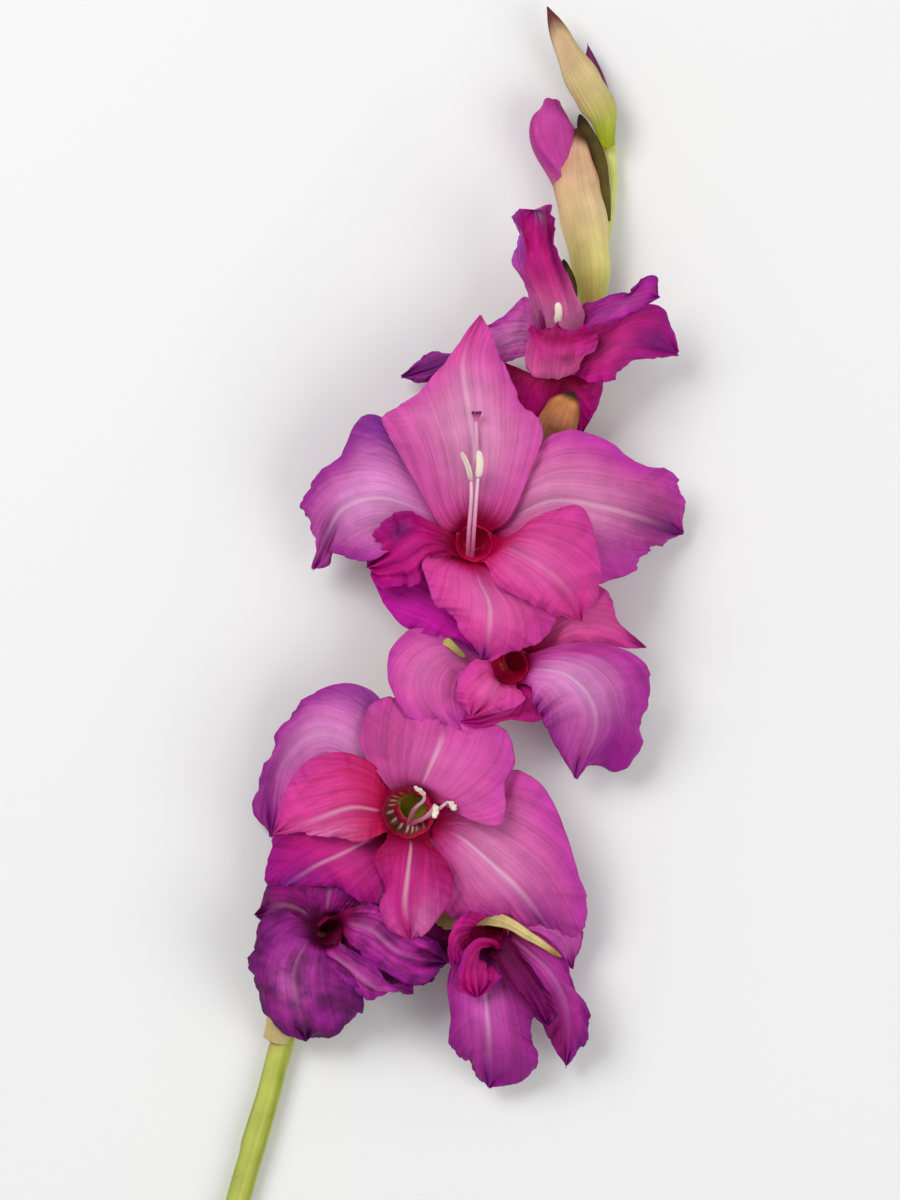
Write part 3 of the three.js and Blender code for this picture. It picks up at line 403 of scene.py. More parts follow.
# %% [markdown]
# ## Ruffles, creases and veins in the shape
# A petal is never smooth. Its edge grew longer than its middle, so it waves; its veins stand a little
# proud of the tissue between them; an old petal is crumpled all over. These are small moves along the
# surface's normal, worked out for the whole grid at once. Each petal has its own seed, so no two are
# alike and every run gives the same flower.

# %% The reliefs
RUFFLE_LENGTH = 13
CREASE_LONGEST, CREASE_SHORTEST, CREASES = 25, 6, 9


def ruffles(u, v, length, chance):
    """Waves along the edge, one every RUFFLE_LENGTH mm with smaller ones about three and six times as close,
    that grow from the midrib as |v| to the power 2.4 and start a tenth of the way along; at the tip they run
    across instead."""
    start = chance.uniform(0, 2 * np.pi, (6, 1, 1))
    count = length / RUFFLE_LENGTH
    side = np.where(v > 0, 0.0, 2.1)
    run = count * (u + 0.05 * np.sin(2 * np.pi * 1.7 * u + start[0]))
    edge = np.sin(2 * np.pi * run + side + start[1]) + 0.4 * np.sin(2 * np.pi * 2.7 * run - side + start[2])
    edge = edge + 0.2 * np.sin(2 * np.pi * 6.1 * run + 2 * side + start[5])
    tip = np.sin(np.pi * 2.6 * v + start[3]) + 0.4 * np.sin(np.pi * 6.5 * v + start[4])
    at_tip = smooth(0.8, 1, u)
    return np.abs(v) ** 2.4 * smooth(0.1, 0.4, u) * edge * (1 - at_tip) + 0.6 * tip * at_tip


def crumples(u, v, length, width, chance):
    """A sum of plane waves over the sheet, from the longest to the shortest crease and turned every way,
    each less tall the shorter it is, sharpened into creases by taking 1 minus twice the size of the sine."""
    total = 0
    for wave in np.geomspace(CREASE_LONGEST, CREASE_SHORTEST, CREASES):
        turn, start = chance.uniform(0, 2 * np.pi, 2)
        way = (np.cos(turn) * u * length + np.sin(turn) * v * width) / wave
        total = total + (1 - 2 * np.abs(np.sin(np.pi * way + start))) * wave / CREASE_LONGEST
    return total / 3


print("seeded, so always the same:", np.random.default_rng(5).uniform(0, 1, 2).round(3))

# %% [markdown]
# ## The colours of this spike
# The oldest floret, nearest the cut, has faded to a bruised violet; the two beside it are turning
# purple; the big ones in the middle are at their best, pale pink in the heart of each petal, deeper
# towards the edge and blood red in the throat. Each finish is four colours: the root in the throat, the
# pale heart, the blade round it and the edge.

# %% Petal colours
petal_colours = {
    "pink": ["#a00040", "#cf86b0", "#cc4a9c", "#bc32a0"],
    "rose": ["#b40044", "#d464a4", "#d0388e", "#b83094"],
    "deep": ["#88002e", "#c83488", "#b60c78", "#9a0c7c"],
    "violet": ["#900058", "#cf84bc", "#bc489e", "#961c8c"],
    "purple": ["#7c0040", "#bc50a4", "#a22088", "#7e127e"],
    "plum": ["#80004a", "#b0248c", "#b40890", "#900c7c"],
    "dark": ["#5c0038", "#8c1870", "#7a0860", "#5c0858"],
    "wilted": ["#500030", "#9c3c8c", "#841674", "#540c58"],
}


def petal_tint(u, v, look, chance):
    """Heart colour as a soft patch round the midrib, pale times strong; edge colour over the outer third and
    the last sixth, edge times strong; then the marks, soft spots exp(-distance²) of another colour, each
    given by its place, how far it reaches along u and v, its colour and its strength: most are the petal's
    own deeper or paler colour, and some are painted shadow or a painted highlight; last the root colour,
    which fades out as far as the blush reaches, further along some veins than others. Each border is broken
    up along the veins by a sum of sines of v."""
    root, heart, blade, edge = (linear(c) for c in petal_colours[look["colours"]])
    waves = chance.uniform(0, 2 * np.pi, 4)
    streaks = sum(np.sin(k * np.pi * v + w) / 2 for k, w in zip((7, 13, 23, 37), waves)) * 0.5
    patch = look["pale"] * np.exp(-((v / 0.6) ** 2)) * smooth(0.12, 0.4, u) * (1 - smooth(0.55, 0.95, u))
    near_edge = smooth(0.62 + 0.06 * streaks, 1.0, np.abs(v)) * smooth(0.2, 0.55, u)
    rim = np.clip(look["edge"] * np.maximum(near_edge, smooth(0.84, 1, u + 0.03 * streaks)), 0, 1)
    tint = blend(blend(blade, heart, patch), edge, rim)
    for place_u, place_v, along_u, along_v, colour, strength in look["marks"]:
        away = ((u - place_u) / along_u) ** 2 + ((v + 0.12 * streaks - place_v) / along_v) ** 2
        tint = blend(tint, linear(colour), strength * np.exp(-away))
    reach = look["blush"] * (1 + 0.3 * streaks)
    return blend(tint, root, 1 - smooth(reach * 0.15, reach, u))


# %% [markdown]
# ## Where the florets stand
# A floret has a throat, where its funnel opens, the way it faces, the radius of its rim and the line of
# its tube up from the stem. The next table has its tepals: each has a bearing round the rim, whether it is
# one of the three inner ones, and either its three lines, which all end on its tip, or, for the one that is
# rolled, its stations, measured from the throat.

# %% The florets
florets = {
    "floret5": {
        "throat": [8, 19, 32], "faces": [0, -0.15, 1], "rim": 6.5, "skin": "pink",
        "tube": [[3, -6, 10.5], [5, 5, 17]],
    },
    "floret4": {
        "throat": [20, -22, 25], "faces": [-0.1, -0.25, 0.95], "rim": 6.5, "skin": "pink",
        "tube": [[-8, -28, 10], [6, -26.5, 13.5]],
    },
    "floret6": {
        "throat": [37, 80, 22], "faces": [-0.15, 0.65, 0.75], "rim": 5.5, "skin": "purple",
        "tube": [[34, 56, 9.5], [36.5, 65, 12.5]],
    },
    "floret3": {
        "throat": [-14, -71, 24], "faces": [0, -0.1, 1], "rim": 9, "skin": "pink",
        "tube": [[-35, -86, 9], [-26, -79, 12.5]],
    },
    "floret2": {
        "throat": [13, -111, 20], "faces": [0.1, -0.6, 0.75], "rim": 6, "skin": "purple",
        "tube": [[-41, -104, 8.5], [-16, -105, 10.5]],
    },
    "floret1": {
        "throat": [-40, -111, 21], "faces": [0.5, -0.3, 0.8], "rim": 5, "skin": "wilted",
        "tube": [[-55, -143, 9.5], [-50, -125, 11.5]],
    },
}
print("florets:", len(florets))


# %% The tepals
def span(left, middle, right):
    """The three lines of a spanned sheet, by name."""
    return {"left": left, "middle": middle, "right": right}


tepals = {
    "floret5_dorsal": [90, True, span(
        [[-3, 24, 37], [-12, 40, 41], [-20, 54, 40], [-22, 61.5, 38], [-10, 69, 39], [0, 82, 38],
         [10.5, 95, 35]],
        [[8, 33, 38.5], [8, 50, 42], [6, 65, 42], [4.5, 80, 40], [10.5, 95, 35]],
        [[20, 27, 37.5], [26.5, 42, 41], [31, 57, 39], [23.5, 66, 39], [17.5, 80, 38], [14, 88.5, 37],
         [10.5, 95, 35]],
    )],
    "floret5_lower_right": [-30, True, span(
        [[19, 21, 41], [30, 28, 47], [42, 31.5, 49], [47.5, 24, 47], [50, 10, 43], [49, 0, 39],
         [44, -7, 34]],
        [[19, 17, 41], [29, 12, 46], [38, 4, 44], [44, -7, 34]],
        [[12, 12, 39], [16, 4, 42], [26, -0.5, 43], [33, -4.5, 40], [44, -7, 34]],
    )],
    "floret5_lower_left": [210, True, span(
        [[0, 15, 37], [-7, 13, 40], [-10, 6.5, 40], [-17, 4.5, 38], [-24, 6, 35], [-27, 11, 31]],
        [[-2, 19, 39], [-9, 19.5, 43], [-17, 15, 42], [-24, 12, 36], [-27, 11, 31]],
        [[0, 22.5, 37], [-7, 27, 41], [-13, 29.5, 44], [-20, 28, 42], [-23, 21, 38], [-28, 17, 34],
         [-27, 11, 31]],
    )],
    "floret5_lip": [270, False, span(
        [[17, 12, 35], [27, 2, 38], [35, -5, 38], [33, -11, 37], [25, -16.5, 36], [17, -19, 35],
         [11, -20.5, 34]],
        [[9.5, 7, 36], [13, -1, 40], [13, -10, 40], [11, -20.5, 34]],
        [[-5, 16, 37], [-9, 13, 41], [-7.5, 6, 42], [-5, -1, 40], [1, -6.5, 38], [6, -13, 36],
         [11, -20.5, 34]],
    )],
    "floret5_upper_right": [30, False, span(
        [[17, 34, 35], [27, 47, 38], [36, 56, 36], [50, 54, 34], [65, 45, 27], [73.5, 43.5, 20],
         [78.5, 34, 12], [78.5, 22.5, 6]],
        [[20, 27, 35], [34, 33, 39], [50, 31, 36], [65, 27, 24], [78.5, 22.5, 6]],
        [[20, 17, 34], [34, 9, 36], [46, 5, 34], [54, 6.5, 31], [61, 9.5, 25], [66, 16, 17], [72, 19, 11],
         [78.5, 22.5, 6]],
    )],
    "floret5_upper_left": [150, False, span(
        [[-6, 20, 36], [-17, 18.5, 39], [-25, 13.5, 36], [-34, 13.5, 30], [-40.5, 17, 22], [-40, 12, 16],
         [-46, 10.5, 12]],
        [[-6, 28, 35], [-22, 34, 38], [-35, 31, 34], [-41, 22, 25], [-46, 10.5, 12]],
        [[-1, 34, 34], [-13, 50, 36], [-23, 61, 36], [-31.5, 59.5, 34], [-37, 48, 32], [-46.5, 39, 27],
         [-49.5, 30, 20], [-44.5, 19.5, 16], [-46, 10.5, 12]],
    )],
    "floret4_right": [345, True, span(
        [[28, -17.5, 35], [38, -14.5, 38], [50, -14.5, 36], [62, -18.5, 31], [67.5, -27, 25],
         [64.5, -39, 20], [64, -49, 15], [56, -57.5, 12], [47, -56, 12], [42, -60, 13]],
        [[28, -23, 35], [38, -24.5, 38], [46, -32, 36], [48.5, -43, 28], [42, -60, 13]],
        [[26, -28.5, 34], [28, -34, 34], [30.5, -39, 31], [33.5, -46, 26], [42, -60, 13]],
    )],
    "floret4_lower_left": [240, True, span(
        [[22, -29, 35], [25, -33, 39], [19, -36, 40], [13, -38, 37], [7, -39, 34]],
        [[15, -27, 34], [12, -32, 38], [7, -39, 34]],
        [[13, -20, 35], [8, -21.5, 39], [3, -27, 39], [2.5, -34, 37], [7, -39, 34]],
    )],
    "floret4_lower_right": [290, False, span(
        [[27, -28.5, 29], [31, -33, 31], [30.5, -40, 31], [20, -40.5, 32], [11, -43.5, 31], [3, -40.5, 30]],
        [[22, -30.5, 29], [18, -36, 33], [11, -40, 33], [3, -40.5, 30]],
        [[15, -28, 29], [10, -34, 32], [6, -38, 32], [3, -40.5, 30]],
    )],
    "floret4_left": [180, False, span(
        [[14, -25, 27], [9, -27, 29], [6.5, -32, 30], [6, -38, 31], [3, -43.5, 32], [3, -48.5, 31]],
        [[11, -20, 27], [-2, -18, 31], [-9, -25, 34], [-8, -34, 34], [3, -48.5, 31]],
        [[12, -15, 27], [0, -12, 30], [-12, -9.5, 33], [-20, -17, 33], [-20.5, -28, 33], [-14.5, -38, 33],
         [-5.5, -42, 33], [3, -48.5, 31]],
    )],
    "floret4_upper_right": [45, False, span(
        [[26, -10, 29], [36, -1, 31], [47, 5, 31], [53, 2, 28], [57, -7, 24], [65.5, -16, 17]],
        [[30, -14, 29], [42, -7, 31], [54, -8.5, 26], [65.5, -16, 17]],
        [[30, -21, 28], [39, -18, 30], [49, -15, 28], [58, -16, 22], [65.5, -16, 17]],
    )],
    "floret4_upper_left": [125, True, span(
        [[10, -17.5, 30], [2, -13, 32], [-7, -11.5, 32], [-16, -8.5, 31], [-22, -1, 28], [-26, 7, 25]],
        [[10, -11, 30], [-2, -3, 32], [-14, 3, 30], [-26, 7, 25]],
        [[16, -10, 30], [8, 0, 32], [-4, 9, 32], [-14, 13, 29], [-26, 7, 25]],
    )],
    "floret6_dorsal": [110, True, span(
        [[28, 94, 28], [25, 103, 33], [20.8, 112, 35], [22.5, 119, 37], [21, 127, 37], [22.5, 130, 36],
         [28, 130, 34]],
        [[36, 95, 26], [31.5, 108, 31], [29, 118, 33], [28, 130, 34]],
        [[45, 95, 27], [40, 106, 33], [36.5, 115, 38], [34.5, 126, 38], [33.5, 131.5, 36], [28, 130, 34]],
    )],
    "floret6_right": [30, False, span(
        [[44, 98, 24], [48, 99.5, 29], [56, 102, 33], [62, 103, 34], [65, 107.5, 33.5], [69, 107.5, 32.5],
         [70, 101, 31]],
        [[46, 93, 26], [54, 97, 32], [62, 99.5, 34], [70, 101, 31]],
        [[46, 88, 27], [53, 91, 33], [61, 96, 35], [70, 101, 31]],
    )],
    "floret6_lower_left": [250, True, span(
        [[27, 77, 30], [23.5, 84, 36], [25, 90, 39], [30, 91.5, 39.5], [36, 91, 38]],
        [[34, 73.5, 33], [34, 80, 41], [34.5, 87, 42], [36, 91, 38]],
        [[42, 75, 32], [47, 81, 39], [49, 87.5, 40.5], [46, 91.5, 39.5], [36, 91, 38]],
    )],
    "floret6_lip": [340, True, span(
        [[44, 86, 30], [48, 91, 34], [55, 93, 34.5], [62, 98, 31.5], [70, 98, 27], [74, 92, 22],
         [76.5, 83, 16]],
        [[45, 80, 31], [52, 83, 34], [62, 87, 29], [76.5, 83, 16]],
        [[42, 75, 28], [46, 73, 31], [52, 73, 30], [58, 77.5, 26], [66, 81.5, 21], [76.5, 83, 16]],
    )],
    "floret6_left": [190, False, span(
        [[29, 81, 25], [20, 80, 26], [8, 75, 20], [-3, 74.5, 14], [-10, 73, 9], [-16.5, 75, 7]],
        [[27, 88, 26], [18, 87, 27], [4, 82, 18], [-16.5, 75, 7]],
        [[31, 95, 27], [25, 101, 29], [17, 94, 28], [9, 90.5, 20], [0, 83, 14], [-9, 82, 10],
         [-16.5, 75, 7]],
    )],
    "floret6_lower_right": [300, False, span(
        [[45, 75, 24], [51, 74, 26], [51, 69, 23], [47.5, 61, 18], [44, 55, 13]],
        [[37, 72, 25], [36.5, 68, 23.5], [39, 62, 18], [44, 55, 13]],
        [[28, 75, 22], [17, 80, 21], [15, 75, 21], [19, 67, 19], [26, 60, 16], [34, 55.5, 13],
         [44, 55, 13]],
    )],
    "floret3_left": [175, True, span(
        [[-22, -77.5, 33], [-30, -80.5, 36], [-40, -79, 36], [-50, -77.5, 33], [-59, -78, 29]],
        [[-24, -70, 33], [-33, -69, 38], [-45, -73, 36], [-59, -78, 29]],
        [[-21, -60, 33], [-27, -53.5, 36], [-37, -50.5, 38], [-48, -54, 37], [-55, -64, 34],
         [-59, -78, 29]],
    )],
    "floret3_lip": [265, True, span(
        [[-6, -81, 33], [0, -89, 37], [0.5, -97, 37], [-3, -105, 36], [-8, -111, 34], [-13, -113, 32]],
        [[-13, -81, 33], [-14, -91, 39], [-15, -102, 37], [-13, -113, 32]],
        [[-21, -79, 33], [-25, -86, 37], [-22, -95, 38], [-23.5, -102, 37], [-20, -110, 34],
         [-13, -113, 32]],
    )],
    "floret3_upper_right": [65, True, span(
        [[-20, -63, 33], [-26, -55, 36], [-30, -47, 36], [-28, -37, 33], [-20, -32, 31], [-10, -34.5, 31],
         [-1, -39, 31]],
        [[-9, -61, 33], [-6, -54, 37], [-3, -47, 36], [-1, -39, 31]],
        [[-3, -68, 33], [6, -72.5, 37], [16, -75, 39], [18.5, -69, 38], [18, -61, 36], [22, -53, 34],
         [18, -43, 31], [9, -42.5, 31], [-1, -39, 31]],
    )],
    "floret3_lower_left": [222, False, span(
        [[-19, -83, 28], [-21, -95, 31], [-26, -102, 29], [-36, -97, 28], [-48, -96, 24], [-60, -100, 15]],
        [[-26, -79.5, 28], [-36, -84.5, 31], [-47, -90, 27], [-60, -100, 15]],
        [[-29, -73, 28], [-43, -75, 31], [-57, -76, 28], [-60.5, -85, 22], [-61.5, -93, 18],
         [-60, -100, 15]],
    )],
    "floret3_right": [325, False, span(
        [[0, -67, 28], [12, -62, 31], [21, -56.5, 32], [31, -62, 31], [38, -75, 28], [42, -90, 23],
         [46.5, -102, 17], [43, -112, 14], [36, -116, 12]],
        [[3, -79, 28], [14, -88, 32], [25, -99, 29], [36, -116, 12]],
        [[-6, -80, 28], [-2, -92, 31], [-1, -105, 30], [9, -105.5, 27], [19, -107.5, 22], [28, -112, 17],
         [36, -116, 12]],
    )],
    "floret3_upper_left": [125, False, span(
        [[-25, -66, 28], [-36, -60, 32], [-46, -61, 30], [-54, -67, 22], [-60, -80, 6]],
        [[-22, -59, 28], [-34, -47, 32], [-46, -45, 29], [-57, -57, 19], [-60, -80, 6]],
        [[-15, -58, 27], [-19, -42, 31], [-25, -31, 31], [-37, -27.5, 29], [-48, -33, 25], [-57, -43, 19],
         [-62, -56, 13], [-67, -70, 7], [-60, -80, 5]],
    )],
    "floret2_inner_left": [225, True, [
        [-3, -6, 10, 8, 7, 40, 40, 0],
        [-4.5, -11, 14, 9, 7, 40, 40, 0],
        [-4.5, -16, 14, 8, 7, 30, 30, 0],
        [-4, -21, 11, 4, 3, 10, 10, 0],
    ]],
    "floret2_inner_right": [300, True, span(
        [[20, -113, 28], [27, -121, 31], [33, -131, 31], [36, -138, 29], [33, -142, 28]],
        [[17, -116, 27], [24, -126, 30], [29, -134, 30], [33, -142, 28]],
        [[13, -118, 28], [18, -125, 32], [24, -134, 32], [29, -140, 29], [33, -142, 28]],
    )],
    "floret2_lip": [270, False, span(
        [[18, -119, 22], [24, -127, 27], [28, -137, 26], [27, -145, 22], [29.5, -153, 17],
         [25.5, -161.5, 10], [13, -164, 8]],
        [[11, -122, 23], [12, -135, 29], [13, -148, 25], [13, -164, 8]],
        [[4, -117, 22], [-1, -126, 26], [0, -138, 26], [0, -149.5, 21], [5.5, -154.5, 16], [9, -160.5, 10],
         [13, -164, 8]],
    )],
    "floret2_right": [330, False, span(
        [[21, -109, 22], [31, -112, 25], [38, -119, 26], [41, -127, 25], [46.5, -138, 20], [46, -147, 15],
         [42, -153.5, 11], [39, -157, 8]],
        [[22, -114, 23], [33, -124, 28], [39, -137, 24], [39, -157, 8]],
        [[19, -118.5, 23], [25, -129, 26], [30, -140, 22], [34, -149, 15], [39, -157, 8]],
    )],
    "floret2_left": [175, False, span(
        [[6, -116, 26], [4, -120, 29], [1, -122, 29]],
        [[7, -110, 27], [2.5, -111, 32], [0, -115.5, 31], [1, -122, 29]],
        [[13, -105.5, 26], [7, -104, 31], [2, -106.5, 32], [-1, -114, 30], [1, -122, 29]],
    )],
    "floret2_upper_right": [20, True, span(
        [[20, -104, 20], [32, -100, 18], [41, -104, 15], [45, -112, 12], [41, -124, 10]],
        [[20, -109, 20], [32, -108, 19], [40, -113, 14], [41, -124, 10]],
        [[20, -113, 20], [30, -114, 19], [36, -119, 15], [41, -124, 10]],
    )],
    "floret1_inner_right": [40, True, span(
        [[-33, -103, 29], [-24, -102, 31], [-14, -109, 31], [-5, -114, 28], [0, -121, 20]],
        [[-33, -108, 28], [-26, -110, 31], [-16, -118, 31], [0, -121, 20]],
        [[-35, -112, 29], [-29, -117, 33], [-18, -126, 31], [-8, -128.5, 25], [0, -121, 20]],
    )],
    "floret1_lower_right": [290, True, span(
        [[-36, -115, 30], [-30, -118, 34], [-20, -126, 33], [-12, -130.5, 26]],
        [[-39, -118, 30], [-32, -124, 33], [-23, -130, 28], [-12, -130.5, 26]],
        [[-43, -118, 30], [-37, -125, 32], [-29, -131.5, 27], [-20, -131.5, 24], [-12, -130.5, 26]],
    )],
    "floret1_lip": [200, True, span(
        [[-42, -117, 31], [-36, -122, 33], [-30, -129, 28], [-29, -136, 22], [-33, -142, 16],
         [-40, -146.5, 13], [-48, -148, 10]],
        [[-48, -115, 31], [-52, -124, 33], [-51, -136, 26], [-48, -148, 10]],
        [[-50, -106, 30], [-60, -103, 31], [-65.5, -114, 29], [-67, -124, 25], [-63, -135, 20],
         [-57, -144.5, 14], [-48, -148, 10]],
    )],
    "floret1_left": [150, False, span(
        [[-49, -110, 25], [-57, -111, 23], [-65, -106, 11]],
        [[-49, -104, 26], [-57, -102, 23], [-65, -106, 11]],
        [[-45, -99, 25], [-51, -93, 22], [-60, -95, 17], [-65, -106, 11]],
    )],
    "floret1_dorsal": [90, False, span(
        [[-47, -103, 24], [-50, -96, 24], [-47, -90, 20], [-40, -88, 18]],
        [[-41, -102, 25], [-40, -95, 25], [-40, -88, 18]],
        [[-34, -104, 24], [-27, -99, 24], [-31, -91, 21], [-40, -88, 18]],
    )],
    "floret1_right": [0, False, span(
        [[-31, -105, 22], [-20, -99, 24], [-8, -102, 22], [2, -110, 18], [1, -120, 14]],
        [[-31, -111, 23], [-20, -113, 25], [-9, -116, 22], [1, -120, 14]],
        [[-34, -117, 21], [-26, -128, 20], [-14, -130.5, 18], [-5, -127, 15], [1, -120, 14]],
    )],
}
print("tepals:", len(tepals))

# %% [markdown]
# ## Rooting the tepals
# The tables start a little way out from the throat. The root itself is worked out, so that six tepals
# always stand evenly round their rim: three inner ones on it, three outer ones just outside and below.

# %% The roots
TEPAL_GAP = 0.3
TEPAL_SET_BACK = 0.2
OUTER_DROP = 2
INNER_FOCUS = 60
OUTER_FOCUS = 250


def rim_of(floret):
    """The throat, the way it faces, and two directions across it: X less its part along the axis, and the
    axis crossed with that."""
    axis = unit(np.array(floret["faces"], float))
    across = unit(np.array([1.0, 0, 0]) - axis * axis[0])
    return np.array(floret["throat"], float), axis, across, np.cross(axis, across)


def rooted(floret, bearing, inner, shape):
    """The shape with a root in front, a sixth of the rim's circle to each side of the bearing. Outer tepals
    are rooted on a ring a little wider and OUTER_DROP lower."""
    centre, axis, across, up = rim_of(floret)
    turn = np.radians(bearing)
    radius = floret["rim"] + (0 if inner else TEPAL_SET_BACK)
    side = np.pi / 3 - TEPAL_GAP / radius
    drop = 0 if inner else OUTER_DROP

    def rim_point(angle):
        """centre + radius × (across cos + up sin), lowered by the drop."""
        return centre + radius * (across * np.cos(angle) + up * np.sin(angle)) - axis * drop

    if isinstance(shape, dict):
        turns = {"left": turn + side, "middle": turn, "right": turn - side}
        return {key: np.vstack([rim_point(turns[key]), shape[key]]) for key in turns}
    width = side * radius
    rest = np.array(shape, float)
    rest[:, :3] += centre
    return np.vstack([[*rim_point(turn), width, width, np.degrees(side), np.degrees(side), 0], rest])


print("a throat and the way it faces:", *(part.round(2) for part in rim_of(florets["floret5"])[:2]))

# %% [markdown]
# ## What sets each petal apart
# Most petals share a few settings, and some have a character of their own: a folded one has pleats, a
# faded one more crumple, a deep-coloured one no pale heart.

